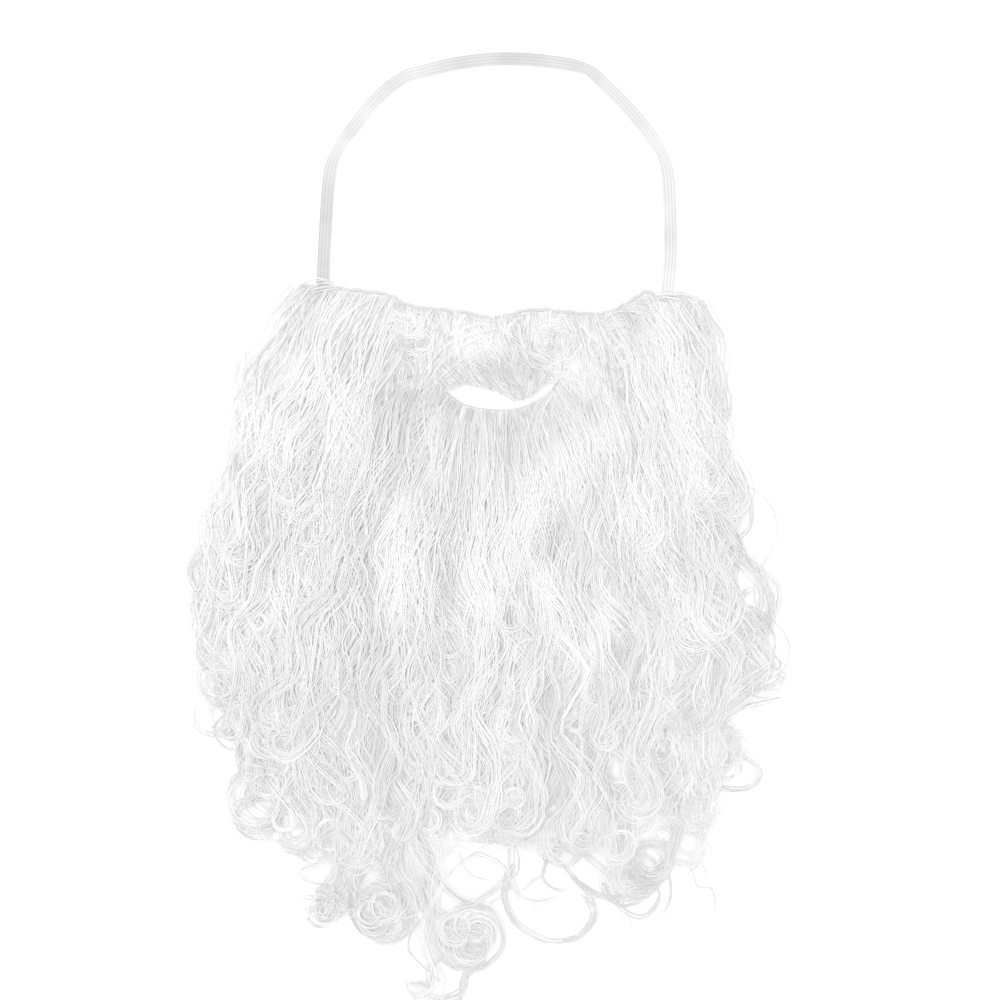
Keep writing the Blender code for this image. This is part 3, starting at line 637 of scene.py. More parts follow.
def smooth_line(points, steps, closed=False):
    """Points of a Catmull-Rom curve through the given points, with this many steps a span."""
    line = [np.array(p, float) for p in points]
    last = len(line)
    spans = last if closed else last - 1
    made = []
    for i in range(spans):
        p1 = line[i]
        p2 = line[(i + 1) % last]
        p0 = line[i - 1] if (closed or i > 0) else 2 * p1 - p2
        p3 = line[(i + 2) % last] if (closed or i + 2 < last) else 2 * p2 - p1
        for k in range(steps):
            t = k / steps
            made.append(0.5 * (2 * p1 + (p2 - p0) * t + (2 * p0 - 5 * p1 + 4 * p2 - p3) * t * t
                               + (3 * p1 - p0 - 3 * p2 + p3) * t ** 3))
    if not closed:
        made.append(line[-1])
    return np.array(made)


def loft(name, rings, across):
    """A closed skin through rings of plan points, with a UV map of places across and distance along."""
    mesh = bpy.data.meshes.new(name)
    count = len(rings[0])
    middles = np.array([np.mean(ring, axis=0) for ring in rings])
    along = np.concatenate(([0.0], np.cumsum(np.linalg.norm(np.diff(middles, axis=0), axis=1))))
    points = [put(*p) for ring in rings for p in ring]
    faces = []
    for i in range(len(rings) - 1):
        for k in range(count):
            a, b = i * count + k, i * count + (k + 1) % count
            faces.append((a, b, b + count, a + count))
    faces.append(tuple(range(count))[::-1])
    faces.append(tuple((len(rings) - 1) * count + k for k in range(count)))
    mesh.from_pydata(points, [], faces)
    layer = mesh.uv_layers.new(name="UVMap")
    for face in mesh.polygons:
        for corner, vertex in zip(face.loop_indices, face.vertices):
            layer.data[corner].uv = (across[vertex % count], along[vertex // count])
    shell = bmesh.new()
    shell.from_mesh(mesh)
    bmesh.ops.recalc_face_normals(shell, faces=shell.faces)
    shell.to_mesh(mesh)
    shell.free()
    mesh.shade_smooth()
    return mesh


def tube(name, line, across, up, size=None):
    """A round cord along plan points with heights; across and up are its half sizes."""
    heading = np.gradient(line[:, :2], axis=0)
    side = np.column_stack((heading[:, 1], -heading[:, 0]))
    side /= np.linalg.norm(side, axis=1)[:, None]
    size = np.ones(len(line)) if size is None else size
    turns = np.linspace(0, 2 * math.pi, 10, endpoint=False)
    rings = [[(*(point[:2] + out * s * across * math.cos(a)), point[2] + s * up * math.sin(a)) for a in turns]
             for point, out, s in zip(line, side, size)]
    return loft(name, rings, turns)


def mass_row(y):
    """Left edge, right edge and height of the hair mass on the lines across it at y."""
    rows = MASS[::-1]
    left, right, share = (np.interp(y, rows[:, 0], rows[:, k]) for k in (1, 2, 3))
    return left, right, share * HAIR_DEPTH


def hair_height(x, y):
    """Top of the hair mass over plan points: low at its edges, along the hem and round the mouth."""
    left, right, height = mass_row(y)
    side = np.minimum(1.0, np.abs(2 * (x - left) / (right - left) - 1))
    near_mouth = np.exp(-((x / 44) ** 2 + ((y - 2) / 22) ** 2))
    near_hem = np.exp(-np.maximum(0.0, top_edge_at(x) - y) / 13)
    return height * (1 - side ** 2.4) ** 0.6 * (1 - 0.78 * near_mouth) * (1 - 0.72 * near_hem)


def glow(x, y):
    """How strongly the bright bands light plan points, from 0 to 1."""
    made = np.zeros(np.shape(x))
    for half, strength, *points in BRIGHT_BANDS:
        for px, py in smooth_line(points, 8):
            made = np.maximum(made, strength * np.exp(-((x - px) ** 2 + (y - py) ** 2) / half ** 2))
    return made


def spaced(line, bend_step=BEND_STEP):
    """The line with its points close together where it bends and further apart where it runs straight."""
    step = np.diff(line, axis=0)
    heading = np.unwrap(np.arctan2(step[:, 1], step[:, 0]))
    turn = np.abs(np.diff(heading, append=heading[-1]))
    need = np.concatenate(([0.0], np.cumsum(np.linalg.norm(step, axis=1) / STRAIGHT_STEP + turn / bend_step)))
    spots = np.linspace(0.0, need[-1], max(5, round(need[-1])) + 1)
    return np.column_stack([np.interp(spots, need, line[:, k]) for k in range(line.shape[1])])


def curled(line, radius, turns):
    """The line carried on round a closing arc; positive turns go anticlockwise."""
    heading = line[-1] - line[-2]
    heading /= np.linalg.norm(heading)
    hub = line[-1] + math.copysign(radius, turns) * np.array((-heading[1], heading[0]))
    arm = line[-1] - hub
    share = np.linspace(0.0, 1.0, 2 + math.ceil(abs(turns) * 40))[1:]
    c, s = np.cos(2 * math.pi * turns * share), np.sin(2 * math.pi * turns * share)
    ring = np.column_stack((c * arm[0] - s * arm[1], s * arm[0] + c * arm[1])) * (1 - 0.3 * share)[:, None]
    return np.vstack((line, hub + ring))


def laid(line, half, lift, strands, tone, chance, sink=0.3, bend_step=BEND_STEP):
    """A wisp whose plan line lies on the hair mass; its root is narrow, darker and sunk by this share."""
    line = spaced(line, bend_step)
    far = np.linspace(0.0, 1.0, len(line))
    half = half * (1.0 - TIP_NARROWING * far) * np.minimum(1.0, ROOT_SPREAD + 6 * far)
    depth = np.minimum(1.0, 1.0 - sink + 2.2 * far)
    level = hair_height(line[:, 0], line[:, 1]) * depth + lift * (1.0 - 0.3 * far)
    level += ROLL * np.sin(2 * math.pi * (2.2 * far + chance.uniform())) * far
    # The tone swing is painted highlight, the darker root painted shade, and glow() adds the bright bands'
    # painted highlights.
    sheen = tone + PAINTED_SHEEN_SWING * np.sin(2 * math.pi * (3.1 * far + chance.uniform()))
    sheen = sheen - ROOT_SHADE * np.exp(-far / 0.05) + glow(line[:, 0], line[:, 1])
    return Wisp(np.column_stack((line, np.maximum(0.62 * half + 0.4, level))), half, far, strands, sheen)


def lock_wisps(rows, chance):
    """Wisps of the main locks, side by side across each, with the edge ones lower than the middle ones."""
    made = []
    t = np.linspace(0.0, 1.0, 160)
    for root_x, root_y, tip_x, tip_y, bow, wave, waves, width, ring_r, turns, rise in rows:
        root = np.array((root_x, min(root_y, top_edge_at(root_x) - ROOT_BELOW_HEM)), float)
        chord = np.array((tip_x, tip_y), float) - root
        reach = np.linalg.norm(chord)
        side = np.array((-chord[1], chord[0])) / reach
        tone = chance.uniform(0.15, 0.6)
        half = width * (0.5 / WISPS_A_LOCK + 0.12)
        for k in range(WISPS_A_LOCK):
            across = (k + 0.5) / WISPS_A_LOCK - 0.5
            shift = width * (0.8 * across + 0.1 * chance.uniform(-1, 1)) * (1.0 - 0.45 * t ** 1.5)
            swing = wave * chance.uniform(0.7, 1.2) * t
            sway = 2 * math.pi * waves * t + 0.5 * chance.uniform(-1, 1) * t
            lean = bow * np.sin(math.pi * t) + swing * np.sin(sway)
            ripples = reach / chance.uniform(*RIPPLE_LENGTH)
            ripple = RIPPLE * chance.uniform(0.5, 1.3) * np.minimum(1.0, 3 * t)
            lean += ripple * np.sin(2 * math.pi * (ripples * t + chance.uniform()))
            line = root + chord * t[:, None] + side * (lean + shift)[:, None]
            radius = ring_r * chance.uniform(0.75, 1.25)
            line = curled(line, radius, turns * chance.uniform(0.85, 1.25) + math.copysign(0.15, turns))
            lift = rise + LOCK_FLATNESS * width * (0.2 - 0.9 * across ** 2) + chance.uniform(-1.5, 1.5)
            shade = tone + chance.uniform(-0.15, 0.15)
            made.append(laid(line, half, lift, STRANDS_A_WISP, shade, chance, 0.16))
    return made


def top_edge_at(x):
    """Height in plan of the cloth's top edge at x."""
    edge = np.array(TOP_EDGE)
    return np.interp(x, edge[:, 0], edge[:, 1])


def lower_lip_at(x):
    """Height in plan of the mouth's lower edge at x."""
    lip = np.array(MOUTH[:6])
    return np.interp(x, lip[:, 0], lip[:, 1])


def stream_x(u, y):
    """Where the line at share u across the mass, from -1 on its left edge to 1 on its right, is at y."""
    left, right, _ = mass_row(y)
    return left + (np.clip(u, -STREAM_EDGE, STREAM_EDGE) + 1) / 2 * (right - left)


def stream_start(u):
    """Where the hair at share u across the mass starts: the top edge, beside the mouth or the lip."""
    x = stream_x(u, 50.0)
    if x < MOUSTACHE_LEFT or x > MOUSTACHE_RIGHT:
        return top_edge_at(x) - ROOT_BELOW_HEM
    x = stream_x(u, 0.0)
    if abs(x) > BESIDE_MOUTH:
        return BESIDE_MOUTH_Y
    return lower_lip_at(x) - 1.6


def foot_at(u):
    """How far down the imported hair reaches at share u, above the open loops of the chin's right half."""
    return float(np.interp(u, (-0.32, -0.27, 0.34, 0.4, 0.8), (-300.0, -209.0, -209.0, -224.0, -224.0)))


def field_wisps(count, shares, chance):
    """Wisps that fill the mass from its roots to its curled ends; neighbours wave together."""
    made = []
    for k in range(count):
        u = shares[0] + (shares[1] - shares[0]) * (k + chance.uniform(0.1, 0.9)) / count
        start = stream_start(u) - (0 if chance.uniform() < ROOTED_SHARE else chance.uniform(*STARTS_LOWER))
        end = -152.0 - 116.0 * math.sqrt(max(0.0, 1 - u * u)) * chance.uniform(0.3, 1.0)
        end = max(end, foot_at(u) + chance.uniform(-7, 14))
        y = np.linspace(start, end, 180)
        grown = 1 - np.exp((y - start) / GROWN_OVER)
        drift, slow, offset = chance.uniform(0.03, 0.12), chance.uniform(40, 80), chance.uniform(0, 6.3)
        wander = drift * np.sin((start - y) / slow + offset)
        on_cheek = min(1.0, max(0.0, (abs(u - 0.06) - 0.2) / 0.25))
        loose = np.clip((20 - 75 * (1 - on_cheek) - y) / 70 + 0.45 * on_cheek, 0.06, 1.0)
        wave_length = WAVE_LENGTH + 6 * math.sin(5 * u) + chance.uniform(-3, 3)
        phase = 2 * math.pi * y / wave_length + 8 * u + 2.1 * chance.uniform(-1, 1)
        wave = grown * loose * WAVE_REACH * chance.uniform(0.5, 1.4) * np.sin(phase)
        sense = math.copysign(1.0, u) * (1 if chance.uniform() < 0.62 else -1)
        line = np.column_stack((stream_x(u + wander * grown, y) + wave, y))
        line = curled(line, chance.uniform(4.5, 9.5), sense * chance.uniform(0.4, 1.3))
        share = chance.uniform(*FIELD_DEPTH)
        lift = (share - 1) * float(hair_height(stream_x(u, FULLEST_Y), FULLEST_Y)) + 1.0
        half = chance.uniform(3.0, 5.0)
        made.append(laid(line, half, lift, STRANDS_A_WISP, chance.uniform(0.1, 0.7), chance, 0.14))
    return made


def moustache_wisps(count, chance):
    """Short soft wisps that follow the moustache's flow from its roots, with small turns of their own."""
    made = []
    while len(made) < count:
        x = chance.uniform(-56, 66)
        y = chance.uniform(-2, top_edge_at(x) - ROOT_BELOW_HEM)
        if abs(x) < 31 and y < 8:
            continue
        line = [(x, y)]
        turn = chance.uniform(-0.35, 0.35)
        for k in range(chance.integers(5, 10)):
            near = 1 / (0.5 + (MOUSTACHE_FLOW[:, 0] - x) ** 2 + (MOUSTACHE_FLOW[:, 1] - y) ** 2) ** 1.5
            dx, dy = near @ MOUSTACHE_FLOW[:, 2:]
            heading = math.atan2(dy, dx) + turn + 0.5 * math.sin(k * 1.1 + 5 * turn)
            x, y = x + 3.4 * math.cos(heading), y + 3.4 * math.sin(heading)
            over_mouth = abs(x) < 30 and y < 7 and not (-6 < x < 11 and y > 3 - 0.7 * x)
            if over_mouth or y > top_edge_at(x) - 1 or y < -30:
                break
            line.append((x, y))
        if len(line) > 4:
            half, lift = chance.uniform(1.4, 2.6), chance.uniform(-0.3, 2.2)
            tone = chance.uniform(-0.05, 0.45)
            made.append(laid(smooth_line(line, 4), half, lift, MOUSTACHE_STRANDS, tone, chance, 0.1))
    return made


def hand_wisps(node, chance):
    """Wisps of this node that are laid one by one; those that start on the front rise out of the mass."""
    made = []
    for half, strands, tone, lift, *points in HAND_WISPS[node]:
        sink = 0.25 if lift >= 1 else 0.0
        line = smooth_line(points, 8)
        made.append(laid(line, HAND_SPREAD * half, lift, strands, tone, chance, sink, HAND_BEND_STEP))
    return made


def curl_wisps(count, shares, chance):
    """Short curls that lie over the lower half: a little waved hair that ends in a loop or more."""
    made = []
    for _ in range(count):
        u = chance.uniform(*shares)
        end = max(chance.uniform(-218, -105), foot_at(u))
        y = np.linspace(end + chance.uniform(18, 45), end, 60)
        x = stream_x(u, y) + 4.0 * np.sin(2 * math.pi * y / 38 + chance.uniform(0, 6.3))
        line = curled(np.column_stack((x, y)), chance.uniform(4.0, 8.5),
                      chance.choice((-1, 1)) * chance.uniform(0.7, 1.6))
        made.append(laid(line, 1.9, chance.uniform(0.5, 4.0), 8, chance.uniform(0.0, 0.7), chance, 0.3))
    return made


def ball_wisps(node, chance):
    """Ringlets seen end on: strands that cross one another inside a round rim."""
    made = []
    t = np.linspace(0.0, 1.0, 60)
    for owner, x, y, radius, count in RINGLET_BALLS:
        for _ in range(count if owner == node else 0):
            reach = radius * (0.52 + 0.42 * np.sin(2 * math.pi * (1.3 * t + chance.uniform())))
            turn = 2 * math.pi * (chance.uniform() + chance.choice((-1, 1)) * chance.uniform(0.7, 1.2) * t)
            line = np.column_stack((x + reach * np.cos(turn), y + reach * np.sin(turn)))
            lift = chance.uniform(1, 6)
            made.append(laid(line, 1.9, lift, 7, chance.uniform(-0.1, 0.4), chance, 0.0, BALL_BEND_STEP))
    return made


def fringe_wisps(chance):
    """Short hairs that fall to the mouth's upper edge, slanted as the tuft is on its left side."""
    made = []
    lip = np.array(MOUTH[5:] + MOUTH[:1])[::-1]
    for x in np.arange(-27.0, 28.0, 0.9):
        tip = np.array((x, np.interp(x, lip[:, 0], lip[:, 1]) + 0.3))
        slant = -0.7 if x < 10 else 0.25
        reach = chance.uniform(8, 17) * np.array((slant + chance.uniform(-0.2, 0.2), 0.85))
        bow = np.array((chance.uniform(-1, 1), 0.0))
        line = smooth_line((tip + reach, tip + 0.6 * reach + bow, tip + 0.3 * reach + bow, tip), 5)
        half = 2.2 * min(1.0, 0.3 + (MOUTH_HALF - abs(x)) / 9)
        lift = chance.uniform(0.2, 1.6)
        wisp = laid(line, half, lift, 7, chance.uniform(-0.1, 0.5), chance, 0.0)
        made.append(wisp._replace(far=0.25 * wisp.far))
    return made


def hem_wisps(chance):
    """Short soft hairs that fall from the top edge over the moustache."""
    made = []
    for x in np.arange(-48, 54, 1.9):
        root = (x, top_edge_at(x) + (chance.uniform(0, 2) if chance.uniform() < 0.4 else 0.2))
        fall = chance.uniform(7, 15)
        aside = chance.uniform(-3, 3)
        points = (root, (x + aside * 0.4, root[1] - fall * 0.4), (x + aside, root[1] - fall * 0.75),
                  (x + aside * 2.2, root[1] - fall))
        made.append(laid(smooth_line(points, 6), 1.5, 0.8, 6, chance.uniform(0, 0.6), chance, 0.1))
    return made


def lip_wisps(chance):
    """Fine straight hairs that fan out from the lower lip."""
    made = []
    for turn in np.linspace(-1.0, 1.0, 34):
        root = np.array((28.5 * turn, lower_lip_at(28.5 * turn) - 1.2))
        away = np.array((0.7 * turn * abs(turn), -1.0))
        reach = chance.uniform(40, 85)
        bend = np.array((chance.uniform(-3, 3), 0.0))
        fall = away * reach
        line = smooth_line((root, root + fall * 0.3, root + fall * 0.65 + bend, root + fall - bend), 6)
        lift = chance.uniform(-0.6, 1.2)
        made.append(laid(line, 2.6, lift, 9, chance.uniform(0, 0.8), chance, 0.1))
    return made


def under_wisps(count, shares, chance):
    """Wisps close to the surface beyond the cloth, which show at the sides and from below."""
    edge = np.array(CHIN_EDGE[::-1])
    made = []
    for u in np.linspace(*shares, count):
        cloth_y = np.interp(stream_x(u, -40.0), edge[:, 0], edge[:, 1], left=40.0, right=40.0)
        start = min(40.0, float(cloth_y)) + 6.0
        end = max(foot_at(u), -160.0 - 100.0 * math.sqrt(1 - u * u) * chance.uniform(0.5, 1.0))
        y = np.linspace(start, end, 120)
        x = stream_x(u, y) + 5.0 * np.sin(2 * math.pi * y / 54 + 8 * u + chance.uniform(-1, 1))
        line = spaced(curled(np.column_stack((x, y)), chance.uniform(5, 9), chance.uniform(-1, 1)))
        far = np.linspace(0.0, 1.0, len(line))
        half = 4.5 * (1 - 0.4 * far)
        level = np.where(line[:, 1] > start - 10, HAIR_Z + 3.0, 0.55 * half + 0.5)
        made.append(Wisp(np.column_stack((line, level)), half, far, 7, np.full(len(line), 0.4)))
    return made


def guide_mesh(name, wisps):
    """Loose edges along every wisp, with what its strands need as point attributes."""
    edges = []
    first = 0
    for wisp in wisps:
        edges += [(first + k, first + k + 1) for k in range(len(wisp.line) - 1)]
        first += len(wisp.line)
    mesh = bpy.data.meshes.new(name)
    mesh.from_pydata([put(*p) for wisp in wisps for p in wisp.line], edges, [])
    far = np.concatenate([wisp.far for wisp in wisps])
    fields = {
        "half_width": np.concatenate([wisp.half for wisp in wisps]) * MM,
        "along": far,
        "taper": 1.0 - 0.7 * far ** 6,
        "strands": np.concatenate([np.full(len(wisp.line), wisp.strands) for wisp in wisps]),
        "wisp_tone": np.concatenate([wisp.tone for wisp in wisps]),
    }
    for key, values in fields.items():
        mesh.attributes.new(key, "FLOAT", "POINT").data.foreach_set("value", values.astype(np.float32))
    return mesh


def strand_tree():
    """Geometry Nodes: each guide line becomes a wisp of fine tapered strands that weave round it."""
    tree, given = new_tree("wisp_of_strands", (
        ("Strand radius", "Float", 0.26 * MM),
        ("Frizz", "Float", 2.8 * MM),
        ("Bends per metre", "Float", 38.0),
        ("Floor height", "Vector", (-9.0, -9.0, 0.45 * MM)),
        ("Seed", "Int", 1),
        ("Material", "Material", None),
    ))
    field = {}
    for label in ("strands", "half_width", "along", "taper", "wisp_tone"):
        reader = add_node(tree, "GeometryNodeInputNamedAttribute", {"data_type": "FLOAT"}, {"Name": label})
        field[label] = reader.outputs[0]
    guide = add_node(tree, "GeometryNodeMeshToCurve", None, {"Mesh": given["Geometry"]})
    copies = add_node(tree, "GeometryNodeDuplicateElements", {"domain": "SPLINE"},
                      {"Geometry": guide.outputs[0], "Amount": field["strands"]})
    strand = add_node(tree, "GeometryNodeCurveOfPoint").outputs["Curve Index"]
    next_seed = add_node(tree, "ShaderNodeMath", {"operation": "ADD"}, {0: given["Seed"], 1: 1.0})
    last_seed = add_node(tree, "ShaderNodeMath", {"operation": "ADD"}, {0: given["Seed"], 1: 2.0})

    # A strand keeps its own place in the wisp, so the strands pass over and under one another at each bend.
    spot = add_node(tree, "FunctionNodeRandomValue", {"data_type": "FLOAT_VECTOR"},
                    {0: (-1.0, -1.0, -1.0), 1: (1.0, 1.0, 1.0), "ID": strand, "Seed": given["Seed"]})
    tangent = add_node(tree, "GeometryNodeInputTangent")
    aside = add_node(tree, "ShaderNodeVectorMath", {"operation": "CROSS_PRODUCT"},
                     {0: tangent.outputs[0], 1: spot.outputs[0]})
    spread = add_node(tree, "ShaderNodeVectorMath", {"operation": "SCALE"},
                      {0: aside.outputs[0], "Scale": field["half_width"]})

    # Its second draw holds its place in the frizz, where its tip ends and how thick it is.
    own = add_node(tree, "FunctionNodeRandomValue", {"data_type": "FLOAT_VECTOR"},
                   {0: (0.0, 0.86, 0.7), 1: (1.6, 1.0, 1.3), "ID": strand, "Seed": next_seed.outputs[0]})
    parts = add_node(tree, "ShaderNodeSeparateXYZ", None, {0: own.outputs[0]})
    spot_now = add_node(tree, "GeometryNodeInputPosition")
    noise = add_node(tree, "ShaderNodeTexNoise", {"noise_dimensions": "4D"},
                     {"Vector": spot_now.outputs[0], "W": parts.outputs[0], "Scale": given["Bends per metre"],
                      "Detail": 1.5})
    swing = add_node(tree, "ShaderNodeVectorMath", {"operation": "SUBTRACT"},
                     {0: noise.outputs["Color"], 1: (0.5, 0.5, 0.5)})
    loose = add_node(tree, "ShaderNodeMath", {"operation": "MULTIPLY_ADD"},
                     {0: field["along"], 1: 1.5, 2: 0.12})
    reach = add_node(tree, "ShaderNodeMath", {"operation": "MULTIPLY"},
                     {0: loose.outputs[0], 1: given["Frizz"]})
    frizz = add_node(tree, "ShaderNodeVectorMath", {"operation": "SCALE"},
                     {0: swing.outputs[0], "Scale": reach.outputs[0]})
    moved = add_node(tree, "ShaderNodeVectorMath", {"operation": "ADD"},
                     {0: spread.outputs[0], 1: frizz.outputs[0]})
    placed = add_node(tree, "ShaderNodeVectorMath", {"operation": "ADD"},
                      {0: moved.outputs[0], 1: spot_now.outputs[0]})
    above = add_node(tree, "ShaderNodeVectorMath", {"operation": "MAXIMUM"},
                     {0: placed.outputs[0], 1: given["Floor height"]})
    shaped = add_node(tree, "GeometryNodeSetPosition", None,
                      {"Geometry": copies.outputs["Geometry"], "Position": above.outputs[0]})
    ended = add_node(tree, "GeometryNodeTrimCurve", {"mode": "FACTOR"},
                     {"Curve": shaped.outputs[0], 3: parts.outputs[1]})
    tone = add_node(tree, "FunctionNodeRandomValue", {"data_type": "FLOAT"},
                    {2: -0.17, 3: 0.17, "ID": strand, "Seed": last_seed.outputs[0]})
    whole_tone = add_node(tree, "ShaderNodeMath", {"operation": "ADD"},
                          {0: tone.outputs[1], 1: field["wisp_tone"]})
    toned = add_node(tree, "GeometryNodeStoreNamedAttribute", {"data_type": "FLOAT", "domain": "POINT"},
                     {"Geometry": ended.outputs[0], "Name": "strand_tone", "Value": whole_tone.outputs[0]})
    thick = add_node(tree, "ShaderNodeMath", {"operation": "MULTIPLY"},
                     {0: field["taper"], 1: parts.outputs[2]})
    radius = add_node(tree, "ShaderNodeMath", {"operation": "MULTIPLY"},
                      {0: thick.outputs[0], 1: given["Strand radius"]})
    section = add_node(tree, "GeometryNodeCurvePrimitiveCircle", None, {"Resolution": 3, "Radius": 1.0})
    tube = add_node(tree, "GeometryNodeCurveToMesh", None,
                    {"Curve": toned.outputs[0], "Profile Curve": section.outputs[0],
                     "Scale": radius.outputs[0], "Fill Caps": True})
    smooth = add_node(tree, "GeometryNodeSetShadeSmooth", None, {"Geometry": tube.outputs[0]})
    real = add_node(tree, "GeometryNodeRealizeInstances", None, {"Geometry": smooth.outputs[0]})
    painted = add_node(tree, "GeometryNodeSetMaterial", None,
                       {"Geometry": real.outputs[0], "Material": given["Material"]})
    add_node(tree, "NodeGroupOutput", None, {0: painted.outputs[0]})
    return tree


def inside(outline, x, y):
    """Whether plan points lie in a closed outline."""
    found = np.zeros(np.shape(x), bool)
    for (x1, y1), (x2, y2) in zip(outline, np.roll(outline, -1, axis=0)):
        crosses = (y1 > y) != (y2 > y)
        with np.errstate(divide="ignore", invalid="ignore"):
            found ^= crosses & (x < (x2 - x1) * (y - y1) / (y2 - y1) + x1)
    return found


def plan_sheet(outline, hole, spacing):
    """Points and triangles of a flat sheet inside an outline and outside a hole, all in plan."""
    xs, ys = np.meshgrid(np.arange(outline[:, 0].min() + 1, outline[:, 0].max(), spacing),
                         np.arange(outline[:, 1].min() + 1, outline[:, 1].max(), spacing))
    grid = np.column_stack((xs.ravel(), ys.ravel()))
    grid = grid[inside(outline, grid[:, 0], grid[:, 1]) & ~inside(hole, grid[:, 0], grid[:, 1])]
    points = [Vector(p) for p in np.vstack((outline, hole, grid))]
    rims = [(k, (k + 1) % len(outline)) for k in range(len(outline))]
    rims += [(len(outline) + k, len(outline) + (k + 1) % len(hole)) for k in range(len(hole))]
    spots, _, faces, _, _, _ = delaunay_2d_cdt(points, rims, [], 1, 1e-4)
    kept = []
    for face in faces:
        middle = sum((spots[k] for k in face), Vector((0.0, 0.0))) / len(face)
        if not inside(hole, middle.x, middle.y):
            kept.append(face)
    return np.array([tuple(p) for p in spots]), kept


def mouth_outline(by):
    """The mouth opening's smooth outline, moved outwards by this much."""
    line = smooth_line(MOUTH, 4, closed=True)
    along = np.roll(line, -1, axis=0) - np.roll(line, 1, axis=0)
    out = np.column_stack((along[:, 1], -along[:, 0]))
    return line + by * out / np.linalg.norm(out, axis=1)[:, None]


def hair_mat(finish):
    """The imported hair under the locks: a low dome over the cloth with the mouth open through it."""
    down = np.linspace(42.0, MAT_FOOT, 40)
    left = [(stream_x(-MAT_EDGE, y), y) for y in down]
    right = [(stream_x(MAT_EDGE, y), y) for y in down[::-1]]
    foot = [(x, MAT_FOOT - 16 * (1 - (x / 70) ** 2)) for x in (-52, -30, -8, 14, 36, 56)]
    top = [(x, top_edge_at(x) - 3.0) for x in np.arange(88, -90, -5.5)]
    points, faces = plan_sheet(np.array(left + foot + right + top), mouth_outline(1.2), 4.0)
    x, y = points[:, 0], points[:, 1]
    edge_left, edge_right, _ = mass_row(y)
    share = 2 * (x - edge_left) / (edge_right - edge_left) - 1
    ridges = 0.9 * np.sin(share * 55 + y / 21) * np.clip((30 - y) / 60, 0.3, 1)
    height = np.maximum(HAIR_Z + 0.6, hair_height(x, y) * MAT_SHARE + ridges)
    mesh = bpy.data.meshes.new("hair_mat")
    mesh.from_pydata([put(*p) for p in zip(x, y, height)], [], faces)
    layer = mesh.uv_layers.new(name="UVMap")
    for face in mesh.polygons:
        for corner, vertex in zip(face.loop_indices, face.vertices):
            layer.data[corner].uv = (share[vertex], y[vertex] / 256)
    shell = bmesh.new()
    shell.from_mesh(mesh)
    bmesh.ops.delete(shell, geom=[v for v in shell.verts if not v.link_faces], context="VERTS")
    made = bmesh.ops.extrude_face_region(shell, geom=shell.faces[:])
    for v in (g for g in made["geom"] if isinstance(g, bmesh.types.BMVert)):
        v.co.z = HAIR_Z * MM
    bmesh.ops.recalc_face_normals(shell, faces=shell.faces)
    shell.to_mesh(mesh)
    shell.free()
    mesh.shade_smooth()
    return new_item("hair_mat", mesh, finish)


def new_finish(name):
    """A new material, its node tree and its shader."""
    made = bpy.data.materials.new(name)
    made.use_nodes = True
    return made, made.node_tree, made.node_tree.nodes["Principled BSDF"]


def set_stops(ramp, first, second, *others):
    """Give a colour ramp stops of place and sRGB colour."""
    stops = ramp.color_ramp.elements
    stops[0].position, stops[0].color = first[0], linear(first[1])
    stops[1].position, stops[1].color = second[0], linear(second[1])
    for place, colour in others:
        stops.new(place).color = linear(colour)


def hair_finish():
    """Heat-set synthetic hair: bright white fibre with a soft sheen, some strands greyer than others. The
    tone it reads also holds painted highlights along the wisps and painted shade at their roots.
    """
    made, tree, shader = new_finish("heat_set_white_synthetic_hair")
    tone = add_node(tree, "ShaderNodeAttribute", {"attribute_name": "strand_tone"})
    ramp = add_node(tree, "ShaderNodeValToRGB", None, {0: tone.outputs["Fac"]})
    set_stops(ramp, (0.0, "#BCBCBC"), (0.3, "#E6E6E6"), (0.65, "#F5F5F5"), (1.0, "#FFFFFF"))
    tree.links.new(ramp.outputs[0], shader.inputs["Base Color"])
    shader.inputs["Roughness"].default_value = 0.42
    return made


def mat_finish():
    """The same hair packed close: fine streaks that run with the strands, about a millimetre wide."""
    made, tree, shader = new_finish("packed_white_synthetic_hair")
    place = add_node(tree, "ShaderNodeUVMap", {"uv_map": "UVMap"})
    stretched = add_node(tree, "ShaderNodeMapping", None,
                         {"Vector": place.outputs[0], "Scale": (150.0, 12.0, 1.0)})
    streak = add_node(tree, "ShaderNodeTexNoise", None,
                      {"Vector": stretched.outputs[0], "Scale": 1.0, "Detail": 2.0, "Distortion": 0.6})
    ramp = add_node(tree, "ShaderNodeValToRGB", None, {0: streak.outputs["Fac"]})
    set_stops(ramp, (0.35, "#D6D6D6"), (0.6, "#F8F8F8"))
    tree.links.new(ramp.outputs[0], shader.inputs["Base Color"])
    relief = add_node(tree, "ShaderNodeBump", None,
                      {"Height": streak.outputs["Fac"], "Strength": 0.6, "Distance": 0.6 * MM})
    tree.links.new(relief.outputs[0], shader.inputs["Normal"])
    shader.inputs["Roughness"].default_value = 0.6
    return made


